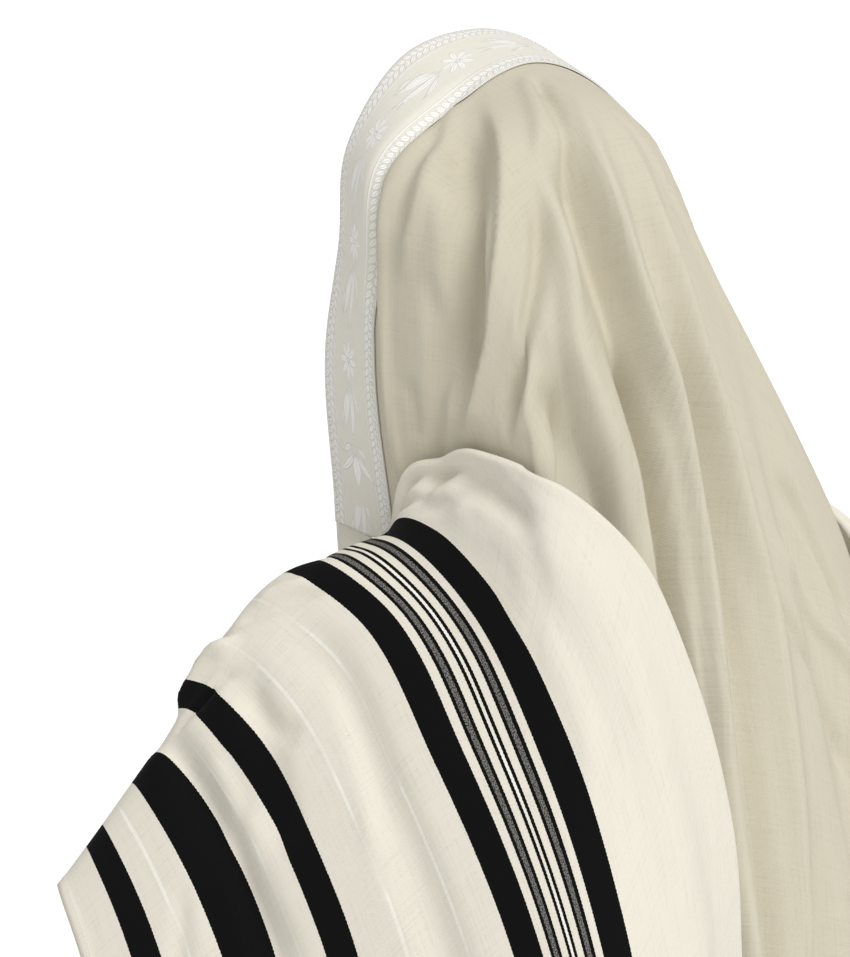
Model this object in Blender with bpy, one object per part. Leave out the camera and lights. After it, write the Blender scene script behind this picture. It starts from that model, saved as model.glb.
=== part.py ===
"""A tallit gadol, the large prayer shawl, as it hangs when worn over the head.

It is one rectangle of cloth. Its long top edge carries the atarah, the neckband,
and frames the face. The middle forms a hood over the head and falls down the
back, and each striped end lies over a shoulder and a forward arm. A flat fold
beside the neck carries each end over the cloth of the back.

A point of the cloth is given by s, metres along the top edge from its middle,
with +s on the wearer's left, and v, metres down from the top edge.

Frame: metres, +Z up, the wearer faces -Y and the wearer's left is +X. The origin
is the crown, where the head holds the cloth up.
"""
import bmesh
import bpy
import numpy as np

# ---------------------------------------------------------------- driving sizes
CLOTH_LENGTH = 1.80
CLOTH_HEIGHT = 1.20
CLOTH_WALL = 0.002
SEAM_GAP = 0.0003

ATARAH_WIDTH = 0.080
ATARAH_WALL = 0.0015

PATCH_CELLS = 2
PATCH_WALL = 0.0012

FOLD_RADIUS = 0.004
FOLD_LIFT = 0.015
FOLD_START = 0.040
FOLD_FULL = 0.080
FOLD_CLEAR = 0.035
ROLL_HEIGHT = 0.060
TUCK_GAP = 0.0010
TUCK_START = 0.105

TASSEL_LENGTH = 0.235
WINDING_LENGTH = 0.085
WINDING_RADIUS = 0.0024
KNOT_RADIUS = 0.0046
KNOT_COUNT = 5
STRAND_COUNT = 8
STRAND_WIDTH = 0.0017
STRAND_SPREAD = 0.022
TASSEL_DROP = 0.0035

ATARAH_ROWS = 4
ROLL_ROWS = 4
LOWER_ROWS = 31
HOOD_COLUMNS_LEFT = 18
HOOD_COLUMNS_RIGHT = 13
ROLL_COLUMNS = 6
ARM_COLUMNS = 11
TUCK_COLUMNS = 4

# ------------------------------------------------------------------ hood and back
# One row for each level v of the cloth. Each column is the place of one upright
# thread on that level: x, y, z.
HOOD_THREADS = (-0.45, -0.32, -0.16, 0.00, 0.08, 0.16, 0.24, 0.32, 0.45)
HOOD_LEVELS = {
    0.00: ((-0.125, -0.095, -0.340), (-0.150, -0.080, -0.205), (-0.148, -0.068, -0.045),
           (-0.025, -0.078, 0.030), (0.053, -0.082, 0.009), (0.106, -0.085, -0.060),
           (0.112, -0.088, -0.135), (0.124, -0.090, -0.215), (0.108, -0.100, -0.345)),
    0.08: ((-0.135, -0.015, -0.350), (-0.148, 0.000, -0.220), (-0.128, 0.005, -0.062),
           (-0.008, -0.003, 0.004), (0.070, -0.001, -0.028), (0.132, -0.006, -0.075),
           (0.138, -0.009, -0.150), (0.134, -0.014, -0.232), (0.112, -0.020, -0.355)),
    0.18: ((-0.160, 0.050, -0.360), (-0.152, 0.060, -0.240), (-0.092, 0.075, -0.085),
           (0.000, 0.090, -0.035), (0.068, 0.096, -0.056), (0.118, 0.090, -0.105),
           (0.122, 0.084, -0.178), (0.118, 0.075, -0.255), (0.085, 0.060, -0.370)),
    0.32: ((-0.262, 0.088, -0.410), (-0.215, 0.108, -0.318), (-0.116, 0.127, -0.202),
           (0.005, 0.155, -0.155), (0.062, 0.158, -0.190), (0.104, 0.150, -0.240),
           (0.108, 0.143, -0.305), (0.112, 0.130, -0.370), (0.130, 0.100, -0.440)),
    0.50: ((-0.345, 0.065, -0.520), (-0.268, 0.130, -0.460), (-0.134, 0.168, -0.378),
           (0.010, 0.185, -0.330), (0.056, 0.186, -0.360), (0.098, 0.180, -0.410),
           (0.125, 0.168, -0.465), (0.150, 0.150, -0.520), (0.200, 0.110, -0.590)),
    0.80: ((-0.390, 0.100, -0.800), (-0.300, 0.170, -0.740), (-0.155, 0.210, -0.670),
           (0.000, 0.225, -0.625), (0.058, 0.220, -0.655), (0.110, 0.210, -0.700),
           (0.155, 0.196, -0.750), (0.200, 0.180, -0.800), (0.250, 0.120, -0.880)),
    1.20: ((-0.400, 0.120, -1.190), (-0.320, 0.200, -1.120), (-0.165, 0.240, -1.060),
           (0.000, 0.250, -1.020), (0.062, 0.244, -1.050), (0.120, 0.230, -1.090),
           (0.170, 0.212, -1.140), (0.220, 0.190, -1.190), (0.270, 0.130, -1.270)),
}

# ------------------------------------------------------------- shoulder panels
# One row for each upright thread |s|: level v, then x, y, z, from the top edge in
# front of the arm, over the arm, down to the hem.
LEFT_THREADS = {
    0.52: ((0.00, 0.103, -0.102, -0.413), (0.10, 0.143, 0.006, -0.356), (0.235, 0.147, 0.122, -0.403),
           (0.36, 0.141, 0.195, -0.504), (0.52, 0.138, 0.261, -0.639), (0.85, 0.135, 0.318, -0.965),
           (1.20, 0.135, 0.330, -1.310)),
    0.60: ((0.00, 0.166, -0.098, -0.460), (0.13, 0.208, -0.022, -0.381), (0.20, 0.196, 0.044, -0.408),
           (0.33, 0.190, 0.132, -0.508), (0.49, 0.182, 0.215, -0.642), (0.85, 0.185, 0.285, -0.990),
           (1.20, 0.195, 0.305, -1.340)),
    0.75: ((0.00, 0.236, -0.138, -0.588), (0.15, 0.281, -0.070, -0.500), (0.225, 0.273, -0.013, -0.545),
           (0.35, 0.266, 0.062, -0.644), (0.55, 0.265, 0.130, -0.828), (0.85, 0.270, 0.185, -1.120),
           (1.20, 0.280, 0.205, -1.470)),
    0.90: ((0.00, 0.285, -0.178, -0.722), (0.17, 0.351, -0.140, -0.634), (0.24, 0.356, -0.102, -0.680),
           (0.36, 0.354, -0.055, -0.785), (0.55, 0.350, 0.010, -0.955), (0.85, 0.350, 0.080, -1.240),
           (1.20, 0.356, 0.125, -1.610)),
}
RIGHT_THREADS = {
    0.52: ((0.00, -0.123, -0.102, -0.411), (0.10, -0.192, 0.000, -0.364), (0.20, -0.262, 0.066, -0.358),
           (0.33, -0.312, 0.138, -0.445), (0.51, -0.325, 0.192, -0.610), (0.85, -0.354, 0.214, -0.945),
           (1.20, -0.366, 0.230, -1.295)),
    0.60: ((0.00, -0.190, -0.106, -0.458), (0.13, -0.262, -0.032, -0.378), (0.20, -0.302, 0.018, -0.385),
           (0.33, -0.335, 0.085, -0.470), (0.49, -0.362, 0.140, -0.610), (0.85, -0.415, 0.175, -0.965),
           (1.20, -0.430, 0.190, -1.320)),
    0.75: ((0.00, -0.262, -0.150, -0.580), (0.15, -0.330, -0.085, -0.476), (0.225, -0.370, -0.032, -0.515),
           (0.35, -0.405, 0.030, -0.615), (0.55, -0.430, 0.085, -0.805), (0.85, -0.460, 0.120, -1.100),
           (1.20, -0.468, 0.140, -1.440)),
    0.90: ((0.00, -0.330, -0.195, -0.700), (0.17, -0.398, -0.155, -0.605), (0.24, -0.430, -0.110, -0.655),
           (0.36, -0.450, -0.060, -0.765), (0.55, -0.465, 0.000, -0.945), (0.85, -0.480, 0.040, -1.235),
           (1.20, -0.488, 0.070, -1.580)),
}

# Where a panel's folded edge runs over the cloth of the back. One row for each
# place along it: the panel's v and |s| there, and s and v of the cloth beneath.
LEFT_FOLD_EDGE = (
    (0.00, 0.478, 0.478, 0.000),
    (0.07, 0.475, 0.475, 0.070),
    (0.08, 0.472, 0.472, 0.080),
    (0.11, 0.450, 0.402, 0.108),
    (0.16, 0.440, 0.366, 0.162),
    (0.21, 0.430, 0.310, 0.236),
    (0.25, 0.420, 0.235, 0.312),
    (0.30, 0.410, 0.160, 0.392),
    (0.36, 0.400, 0.098, 0.470),
    (0.43, 0.390, 0.044, 0.545),
    (0.50, 0.380, 0.004, 0.630),
    (0.60, 0.370, -0.020, 0.745),
    (0.70, 0.365, -0.018, 0.850),
    (1.20, 0.360, -0.005, 1.360),
)
RIGHT_FOLD_EDGE = (
    (0.00, 0.478, -0.478, 0.000),
    (0.07, 0.475, -0.475, 0.070),
    (0.08, 0.472, -0.472, 0.080),
    (0.11, 0.455, -0.428, 0.110),
    (0.20, 0.445, -0.410, 0.220),
    (0.28, 0.440, -0.385, 0.320),
    (0.36, 0.435, -0.365, 0.420),
    (0.50, 0.430, -0.340, 0.570),
    (0.70, 0.425, -0.320, 0.780),
    (1.20, 0.420, -0.310, 1.300),
)

# ----------------------------------------------------------------------- folds
# One row for each large fold: height (a trough is negative), its reach on the +s
# side and on the other side of its downward line (above and below it when the line
# runs sideways to +s), how sharp its crest is (1 is round, less is sharper), and
# its line as (v, s) places. A fold rises from nothing at both ends of its line.
HOOD_FOLDS = {
    "ear_hollow": (-0.011, 0.030, 0.012, 0.9, ((0.11, 0.095), (0.17, 0.150), (0.19, 0.240), (0.17, 0.330))),
    "ear_ridge": (0.006, 0.010, 0.026, 0.7, ((0.12, 0.080), (0.20, 0.160), (0.21, 0.250), (0.17, 0.370))),
    "nape_groove": (-0.009, 0.018, 0.022, 0.9, ((0.16, 0.090), (0.24, 0.112), (0.27, 0.160), (0.24, 0.290))),
    "nape_hollow": (-0.022, 0.045, 0.050, 1.0, ((0.28, 0.150), (0.36, 0.130), (0.44, 0.090), (0.53, 0.060))),
    "spine_trough": (-0.020, 0.034, 0.022, 0.8,
                     ((0.17, 0.045), (0.27, 0.052), (0.38, 0.032), (0.48, -0.006), (0.62, -0.010), (0.90, -0.020))),
    "spine_ridge": (0.006, 0.014, 0.030, 0.6,
                    ((0.12, 0.000), (0.26, 0.026), (0.38, -0.006), (0.50, -0.052), (0.70, -0.045), (1.10, -0.070))),
    "back_trough": (-0.011, 0.020, 0.030, 0.9, ((0.34, -0.040), (0.45, -0.070), (0.60, -0.085), (1.00, -0.100))),
    "back_ridge": (0.006, 0.020, 0.040, 0.7, ((0.20, -0.040), (0.42, -0.096), (0.60, -0.125), (1.00, -0.150))),
    "blade_trough": (-0.012, 0.040, 0.040, 1.0, ((0.30, -0.140), (0.50, -0.190), (0.80, -0.215), (1.20, -0.225))),
    "far_ear_hollow": (-0.010, 0.022, 0.030, 1.0, ((0.10, -0.160), (0.15, -0.230), (0.17, -0.330))),
    "far_nape_trough": (-0.010, 0.030, 0.030, 1.0, ((0.14, -0.080), (0.24, -0.160), (0.30, -0.260))),
    "hem_wave_a": (-0.022, 0.045, 0.045, 1.0, ((0.70, -0.130), (1.00, -0.140), (1.60, -0.150))),
    "hem_wave_b": (-0.020, 0.040, 0.040, 1.0, ((0.75, -0.240), (1.05, -0.250), (1.60, -0.255))),
    "hem_wave_c": (-0.018, 0.035, 0.035, 1.0, ((0.80, -0.030), (1.05, -0.035), (1.60, -0.040))),
}
LEFT_FOLDS = {
    "rolled_rim": (0.007, 0.022, 0.020, 0.8, ((0.09, 0.478), (0.16, 0.466), (0.24, 0.456), (0.34, 0.440))),
    "blade_swell": (0.008, 0.040, 0.030, 1.0, ((0.25, 0.440), (0.45, 0.430), (0.75, 0.430))),
    "arm_trough_a": (-0.008, 0.030, 0.030, 1.0, ((0.14, 0.640), (0.30, 0.650), (0.60, 0.660))),
    "arm_trough_b": (-0.010, 0.018, 0.022, 0.9, ((0.10, 0.740), (0.20, 0.742), (0.40, 0.750))),
    "hem_wave_a": (-0.024, 0.045, 0.045, 1.0, ((0.60, 0.450), (0.95, 0.460), (1.60, 0.465))),
    "hem_wave_b": (-0.024, 0.045, 0.045, 1.0, ((0.50, 0.580), (0.90, 0.585), (1.60, 0.590))),
    "hem_wave_c": (-0.026, 0.045, 0.045, 1.0, ((0.45, 0.700), (0.85, 0.705), (1.60, 0.710))),
    "hem_wave_d": (-0.022, 0.040, 0.040, 1.0, ((0.45, 0.820), (0.80, 0.822), (1.60, 0.825))),
}
RIGHT_FOLDS = {
    "arm_trough_a": (-0.010, 0.030, 0.030, 1.0, ((0.14, 0.600), (0.34, 0.610), (0.70, 0.620))),
    "arm_trough_b": (-0.010, 0.025, 0.025, 1.0, ((0.12, 0.780), (0.30, 0.785), (0.50, 0.790))),
    "hem_wave_a": (-0.018, 0.045, 0.045, 1.0, ((0.55, 0.560), (0.90, 0.565), (1.60, 0.570))),
    "hem_wave_b": (-0.022, 0.050, 0.050, 1.0, ((0.45, 0.680), (0.85, 0.685), (1.60, 0.690))),
    "hem_wave_c": (-0.020, 0.045, 0.045, 1.0, ((0.45, 0.800), (0.85, 0.802), (1.60, 0.805))),
}
FOLD_FADE = 0.22
LEAST_REACH = 0.024

# ----------------------------------------------------------------------- colours
WOOL = (0.78, 0.74, 0.64, 1.0)
SATIN = (0.84, 0.82, 0.77, 1.0)
CORD = (0.86, 0.84, 0.78, 1.0)


def clear_objects():
    """Remove every object, so that the file holds the shawl alone."""
    for old in list(bpy.data.objects):
        bpy.data.objects.remove(old, do_unlink=True)


def cloth_material(name, colour, roughness):
    """A plain woven finish."""
    material = bpy.data.materials.new(name)
    material.use_nodes = True
    shader = material.node_tree.nodes["Principled BSDF"]
    shader.inputs["Base Color"].default_value = colour
    shader.inputs["Roughness"].default_value = roughness
    shader.inputs["Metallic"].default_value = 0.0
    return material


# -------------------------------------------------------------- curves and grids
def smooth_step(value, low, high):
    """Rise from 0 at low to 1 at high, level at both ends."""
    t = np.clip((value - low) / (high - low), 0.0, 1.0)
    return t * t * (3.0 - 2.0 * t)


def curve_through(knots, places, at):
    """A smooth curve through places at rising knots, straight beyond both ends.

    knots is (..., k), places (..., k, d) and at (..., m), and the answer (..., m, d).
    """
    knots = np.asarray(knots, float)
    places = np.asarray(places, float)
    at = np.asarray(at, float)
    step = np.diff(knots, axis=-1)[..., None]
    slope = np.diff(places, axis=-2) / step
    inner = slope[..., :-1, :] * step[..., 1:, :] + slope[..., 1:, :] * step[..., :-1, :]
    inner = inner / (step[..., 1:, :] + step[..., :-1, :])
    slope = np.concatenate([slope[..., :1, :], inner, slope[..., -1:, :]], axis=-2)
    cell = (at[..., :, None] >= knots[..., None, 1:]).sum(axis=-1)
    cell = np.minimum(cell, knots.shape[-1] - 2)

    def pick(table, index):
        table = np.broadcast_to(table, index.shape[:-1] + table.shape[-2:])
        return np.take_along_axis(table, index[..., None], axis=-2)

    start = pick(knots[..., None], cell)
    length = pick(step, cell)
    t = (at[..., None] - start) / length
    beyond = t - np.clip(t, 0.0, 1.0)
    t = np.clip(t, 0.0, 1.0)
    slope_a = pick(slope, cell)
    slope_b = pick(slope, cell + 1)
    curve = (2 * t**3 - 3 * t**2 + 1) * pick(places, cell) + (3 * t**2 - 2 * t**3) * pick(places, cell + 1)
    curve = curve + length * ((t**3 - 2 * t**2 + t) * slope_a + (t**3 - t**2) * slope_b)
    return curve + beyond * length * np.where(beyond < 0, slope_a, slope_b)


def unit(vectors):
    """Vectors of the same directions, each one long."""
    return vectors / np.linalg.norm(vectors, axis=-1, keepdims=True)


def surface_normals(surface, s, v, side=1.0):
    """Outward unit normals of surface(s, v), from places a millimetre around."""
    step = 0.001
    along_s = surface(s + step, v) - surface(s - step, v)
    along_v = surface(s, v + step) - surface(s, v - step)
    return unit(np.cross(along_s, along_v)) * side


def evened(normals, passes=3):
    """Unit normals of a grid, each drawn towards its neighbours' mean."""
    for _ in range(passes):
        wide = np.pad(normals, ((1, 1), (1, 1), (0, 0)), mode="edge")
        around = wide[:-2, 1:-1] + wide[2:, 1:-1] + wide[1:-1, :-2] + wide[1:-1, 2:]
        normals = unit(normals + around)
    return normals


def fold_line(places, parts=5):
    """The corners of a many-sided line that follows a fold smoothly."""
    places = np.array(places)
    knots = np.concatenate([[0.0], np.cumsum(np.linalg.norm(np.diff(places, axis=0), axis=1))])
    return curve_through(knots, places, np.linspace(0.0, knots[-1], parts * (len(knots) - 1) + 1))


def fold_height(folds, s, v):
    """How far the folds stand out (+) or in (-) at each s and v."""
    height = np.zeros(s.size)
    spot = np.stack([v.ravel(), s.ravel()], axis=-1)[:, None]
    for rise, reach_plus, reach_minus, crest, places in folds.values():
        line = fold_line(places)
        start = line[:-1]
        part = np.diff(line, axis=0)
        share = np.clip(((spot - start) * part).sum(axis=-1) / (part**2).sum(axis=-1), 0.0, 1.0)
        away = spot - start - part * share[..., None]
        near = np.argmin((away**2).sum(axis=-1), axis=1)[:, None]
        away = np.take_along_axis(away, near[..., None], axis=1)[:, 0]
        along = (near[:, 0] + np.take_along_axis(share, near, axis=1)[:, 0]) / len(part)
        turn = part[near[:, 0]]
        plus = turn[:, 0] * away[:, 1] - turn[:, 1] * away[:, 0] > 0
        reach = np.where(plus, max(reach_plus, LEAST_REACH), max(reach_minus, LEAST_REACH))
        across = np.clip(np.linalg.norm(away, axis=-1) / reach, 0.0, 1.0)
        fade = smooth_step(along, 0.0, FOLD_FADE) * smooth_step(1.0 - along, 0.0, FOLD_FADE)
        height += rise * fade * 0.5 * (1.0 + np.cos(np.pi * across**crest))
    return height.reshape(s.shape)


# --------------------------------------------------------------- cloth surfaces
def hood_surface(s, v):
    """The unfolded hood and back at s (rows, columns) and v (rows)."""
    levels = np.array(list(HOOD_LEVELS))
    places = np.array(list(HOOD_LEVELS.values())).transpose(1, 0, 2)
    threads = np.stack([curve_through(levels, thread, v) for thread in places], axis=1)
    knots = np.broadcast_to(HOOD_THREADS, threads.shape[:2])
    return curve_through(knots, threads, s)


def on_hood(s, v, out=0.0):
    """Single places over the unfolded hood, moved out by a distance, and normals."""
    places = hood_surface(s[:, None], v)[:, 0]
    normal = surface_normals(hood_surface, s[:, None], v)[:, 0]
    return places + normal * np.reshape(out, (-1, 1)), normal


def table_row(table, v):
    """|s| of a panel's folded edge, and s and v of the cloth beneath, at levels v."""
    table = np.array(table)
    row = curve_through(table[:, 0], table[:, 1:], v)
    return row[:, 0], row[:, 1], row[:, 2]


def hood_edge(table, v):
    """s of the hood's own edge under a panel: half way back to the panel's fold."""
    table = np.array(table)
    sign = np.sign(table[0, 2])
    half = 0.5 * (table[:, 1] * sign + table[:, 2])
    edge = np.where(table[:, 0] > FOLD_FULL, half, half - 3 * FOLD_RADIUS * sign)
    return curve_through(table[:, 3], edge[:, None], v)[:, 0]


def row_levels():
    """Levels v of the cloth's rows: the neckband's, the roll's, then on to the hem."""
    roll = ATARAH_WIDTH + ROLL_HEIGHT
    return np.concatenate([
        np.linspace(0.0, ATARAH_WIDTH, ATARAH_ROWS + 1),
        np.linspace(ATARAH_WIDTH, roll, ROLL_ROWS + 1)[1:],
        np.linspace(roll, CLOTH_HEIGHT, LOWER_ROWS + 1)[1:],
    ])


def hood_grid(v, left_columns, right_columns):
    """s (rows, columns) of the hood's grid, from its right edge to its left one."""
    left = hood_edge(LEFT_FOLD_EDGE, v)[:, None] * np.linspace(0.0, 1.0, left_columns + 1)[1:]
    right = hood_edge(RIGHT_FOLD_EDGE, v)[:, None] * np.linspace(1.0, 0.0, right_columns + 1)
    return np.concatenate([right, left], axis=1)


def folded_hood(s, v):
    """The hood and back with their folds, which are calm where a panel lies above."""
    height = fold_height(HOOD_FOLDS, s, np.broadcast_to(v[:, None], s.shape))
    for table, sign in ((LEFT_FOLD_EDGE, 1.0), (RIGHT_FOLD_EDGE, -1.0)):
        table = np.array(table)
        cover = curve_through(table[:, 3], table[:, 2:3], v)
        below = smooth_step((s - cover) * sign, -FOLD_CLEAR, 0.0)
        hidden = smooth_step((s - hood_edge(table, v)[:, None]) * sign, -FOLD_CLEAR, 0.0)
        height = (height - np.maximum(height, 0.0) * below) * (1.0 - hidden)
    return hood_surface(s, v) + surface_normals(hood_surface, s, v) * height[..., None]


def panel_surface(threads, table, s, v):
    """An unfolded shoulder panel at |s| (rows, columns) and v (rows)."""
    start, s_back, v_back = table_row(table, v)
    edge, normal = on_hood(s_back, v_back, FOLD_LIFT * smooth_step(v, FOLD_START, FOLD_FULL))
    columns = [edge]
    for line in threads.values():
        line = np.array(line)
        columns.append(curve_through(line[:, 0], line[:, 1:], v))
    knots = np.concatenate([start[:, None], np.broadcast_to(list(threads), (len(v), len(threads)))], axis=1)
    return curve_through(knots, np.stack(columns, axis=1), s)


def panel_grid(threads, table, v, roll_columns, arm_columns):
    """|s| (rows, columns) from the folded edge to the end edge."""
    start = table_row(table, v)[0][:, None]
    first = min(threads)
    roll = start + (first - start) * np.linspace(0.0, 1.0, roll_columns + 1)[:-1]
    arm = np.linspace(first, CLOTH_LENGTH / 2, arm_columns + 1)
    return np.concatenate([roll, np.broadcast_to(arm, (len(v), len(arm)))], axis=1)


def folded_panel(threads, table, folds, s, v, side):
    """A shoulder panel with its folds, which die out at its folded edge."""
    def flat(s, v):
        return panel_surface(threads, table, s, v)

    beside = smooth_step(s - table_row(table, v)[0][:, None], 0.0, 0.02)
    height = fold_height(folds, s, np.broadcast_to(v[:, None], s.shape)) * beside
    return flat(s, v) + surface_normals(flat, s, v, side) * height[..., None]


def turned_edge(table, v, side):
    """Two columns that roll a panel's edge under, and the outward normals there."""
    _, s_back, v_back = table_row(table, v)
    sign = np.sign(table[0][2])
    turn = smooth_step(v, FOLD_START, FOLD_FULL)[:, None]
    below, out = on_hood(s_back, v_back, (FOLD_LIFT - 2 * FOLD_RADIUS) * turn)
    into = unit(np.cross(np.gradient(below, axis=0), out)) * side
    seam = hood_edge(table, v) + sign * SEAM_GAP
    joined, out_joined = on_hood(seam, v)
    middle, out_middle = on_hood(0.5 * (seam + s_back), 0.5 * (v + v_back))
    nose = below + (out - into) * FOLD_RADIUS
    under = joined * (1 - turn) + below * turn
    nose = middle * (1 - turn) + nose * turn
    half = np.pi / 2 * turn
    normal_under = unit(out_joined * (1 - turn) + out * turn) * np.cos(2 * half) - into * np.sin(2 * half)
    normal_nose = out * np.cos(half) - into * np.sin(half)
    return np.stack([under, nose], axis=1), np.stack([normal_under, normal_nose], axis=1)


def tuck_points(table, v, columns):
    """The layer between: it turns back at the hood's hidden edge to the panel's fold."""
    _, s_back, v_back = table_row(table, v)
    sign = np.sign(table[0][2])
    height = FOLD_LIFT - 2 * FOLD_RADIUS
    seam = hood_edge(table, v) + sign * TUCK_GAP
    first, out = on_hood(seam, v)
    away = unit(np.cross(np.gradient(first, axis=0), out)) * sign
    points = [first, first + (out + away) * height / 2]
    normals = [out, -away]
    for share in np.linspace(0.0, 1.0, columns + 1):
        s = seam + (s_back + sign * TUCK_GAP - seam) * share
        place_here, out = on_hood(s, v + (v_back - v) * share, height)
        points.append(place_here)
        normals.append(-out)
    return np.stack(points, axis=1), np.stack(normals, axis=1)


# ------------------------------------------------------------------ solid making
def shell(name, outer, inner, material):
    """A closed wall between an outer and an inner grid of the same shape."""
    rows, columns = outer.shape[:2]
    count = rows * columns
    number = np.arange(count).reshape(rows, columns)
    quads = np.stack([number[:-1, :-1], number[1:, :-1], number[1:, 1:], number[:-1, 1:]], axis=-1)
    quads = quads.reshape(-1, 4)
    border = np.concatenate([number[0, :-1], number[:-1, -1], number[-1, :0:-1], number[:0:-1, 0]])
    following = np.roll(border, -1)
    rim = np.stack([border, following, following + count, border + count], axis=-1)
    faces = np.concatenate([quads, quads[:, (0, 3, 2, 1)] + count, rim])
    points = np.concatenate([outer.reshape(-1, 3), inner.reshape(-1, 3)])
    mesh = bpy.data.meshes.new(name)
    mesh.from_pydata(points.tolist(), [], faces.tolist())
    orient_outwards(mesh)
    return place(name, mesh, material)


def orient_outwards(mesh):
    """Turn every face of a closed mesh to point out of the solid."""
    work = bmesh.new()
    work.from_mesh(mesh)
    bmesh.ops.recalc_face_normals(work, faces=work.faces)
    work.to_mesh(mesh)
    work.free()


def place(name, mesh, material):
    """Link a mesh into the scene as a smooth-shaded object of its own."""
    mesh.materials.append(material)
    mesh.shade_smooth()
    item = bpy.data.objects.new(name, mesh)
    bpy.context.scene.collection.objects.link(item)
    return item


def cloth_wall(name, points, normal, material):
    """A wall of the cloth's thickness behind its outer points."""
    shell(name, points, points - normal * CLOTH_WALL, material)


def raised_wall(name, points, normal, wall, material):
    """A wall laid on the outside of a part of a cloth's own grid."""
    inner = points + normal * SEAM_GAP
    shell(name, inner + normal * wall, inner, material)


def build_hood(wool, satin):
    """The hood and the whole back in one stretch, with the neckband on its edge."""
    v = row_levels()
    s = hood_grid(v, HOOD_COLUMNS_LEFT, HOOD_COLUMNS_RIGHT)
    points = folded_hood(s, v)
    normal = surface_normals(hood_surface, s, v)
    cloth_wall("hood_and_back", points, normal, wool)
    reach = ATARAH_ROWS + 1
    raised_wall("atarah", points[:reach], normal[:reach], ATARAH_WALL, satin)


def build_side(prefix, threads, table, folds, side, wool, satin, cord):
    """One striped end: its tuck, its panel over the arm, and its two corners."""
    def flat(s, v):
        return panel_surface(threads, table, s, v)

    v = row_levels()
    points, normal = tuck_points(table, v[v > TUCK_START], TUCK_COLUMNS)
    cloth_wall(prefix + "_tuck", points, normal, wool)
    s = panel_grid(threads, table, v, ROLL_COLUMNS, ARM_COLUMNS)
    points = folded_panel(threads, table, folds, s, v, side)
    rolled, rolled_normal = turned_edge(table, v, side)
    points = np.concatenate([rolled, points], axis=1)
    normal = np.concatenate([rolled_normal, evened(surface_normals(flat, s, v, side))], axis=1)
    cloth_wall(prefix + "_shoulder_panel", points, normal, wool)
    reach = PATCH_CELLS + 1
    for corner, rows, edge in (("top", slice(0, reach), 0), ("hem", slice(-reach, None), -1)):
        block = (rows, slice(-reach, None))
        name = prefix + "_" + corner + "_corner"
        raised_wall(name + "_patch", points[block], normal[block], PATCH_WALL, satin)
        tip = points[edge, -1] - normal[edge, -1] * CLOTH_WALL / 2
        build_tassel(name + "_tzitzit", tip - np.array((0.0, 0.0, TASSEL_DROP)), cord)


def build_tassel(name, top, material):
    """One tzitzit: a wound and knotted cord whose end opens into loose strands."""
    work = bmesh.new()
    profile = [(0.0, WINDING_RADIUS)]
    spacing = WINDING_LENGTH / (KNOT_COUNT - 1)
    for knot in range(KNOT_COUNT):
        middle = knot * spacing + KNOT_RADIUS
        profile.append((middle, KNOT_RADIUS))
        profile.append((middle + KNOT_RADIUS, WINDING_RADIUS))
    sides = STRAND_COUNT
    rings = []
    for depth, radius in profile:
        angle = 2 * np.pi * np.arange(sides) / sides
        rings.append([work.verts.new((radius * np.cos(a), radius * np.sin(a), -depth)) for a in angle])
    for upper, lower in zip(rings, rings[1:]):
        for k in range(sides):
            work.faces.new((upper[k], lower[k], lower[(k + 1) % sides], upper[(k + 1) % sides]))
    work.faces.new(rings[0])
    centre = work.verts.new((0.0, 0.0, -profile[-1][0]))
    roots = [work.faces.new((rings[-1][(k + 1) % sides], rings[-1][k], centre)) for k in range(sides)]
    work.normal_update()
    bmesh.ops.inset_individual(work, faces=roots, thickness=SEAM_GAP)
    grown = bmesh.ops.extrude_discrete_faces(work, faces=roots)["faces"]
    strand = TASSEL_LENGTH - profile[-1][0]
    for number, tip in enumerate(grown):
        middle = tip.calc_center_median()
        direction = middle.xy.normalized()
        length = strand * (0.90 + 0.10 * ((number * 3) % 4) / 3)
        for corner in tip.verts:
            corner.co.x = direction.x * STRAND_SPREAD / 2 + (corner.co.x - middle.x) * STRAND_WIDTH / 0.002
            corner.co.y = direction.y * STRAND_SPREAD / 2 + (corner.co.y - middle.y) * STRAND_WIDTH / 0.002
            corner.co.z = corner.co.z - length
    bmesh.ops.recalc_face_normals(work, faces=work.faces)
    mesh = bpy.data.meshes.new(name)
    work.to_mesh(mesh)
    work.free()
    item = place(name, mesh, material)
    item.location = top
    return item


def main():
    clear_objects()
    wool = cloth_material("wool_cloth", WOOL, 0.85)
    satin = cloth_material("atarah_brocade", SATIN, 0.55)
    cord = cloth_material("tzitzit_cord", CORD, 0.80)
    build_hood(wool, satin)
    build_side("left", LEFT_THREADS, LEFT_FOLD_EDGE, LEFT_FOLDS, 1.0, wool, satin, cord)
    build_side("right", RIGHT_THREADS, RIGHT_FOLD_EDGE, RIGHT_FOLDS, -1.0, wool, satin, cord)


if __name__ == "__main__":
    main()
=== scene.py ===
"""A tallit gadol, the large prayer shawl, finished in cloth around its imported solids.

Each stretch of the shawl is a thin wall over the same surface as its solid, with
its main folds deepened and its small folds added. A point of the cloth is given
by s, metres along the top edge from its middle (+s on the wearer's left), and v,
metres down from the top edge. Both are kept in the UV map "cloth", where the
woven patterns read them.
"""

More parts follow.
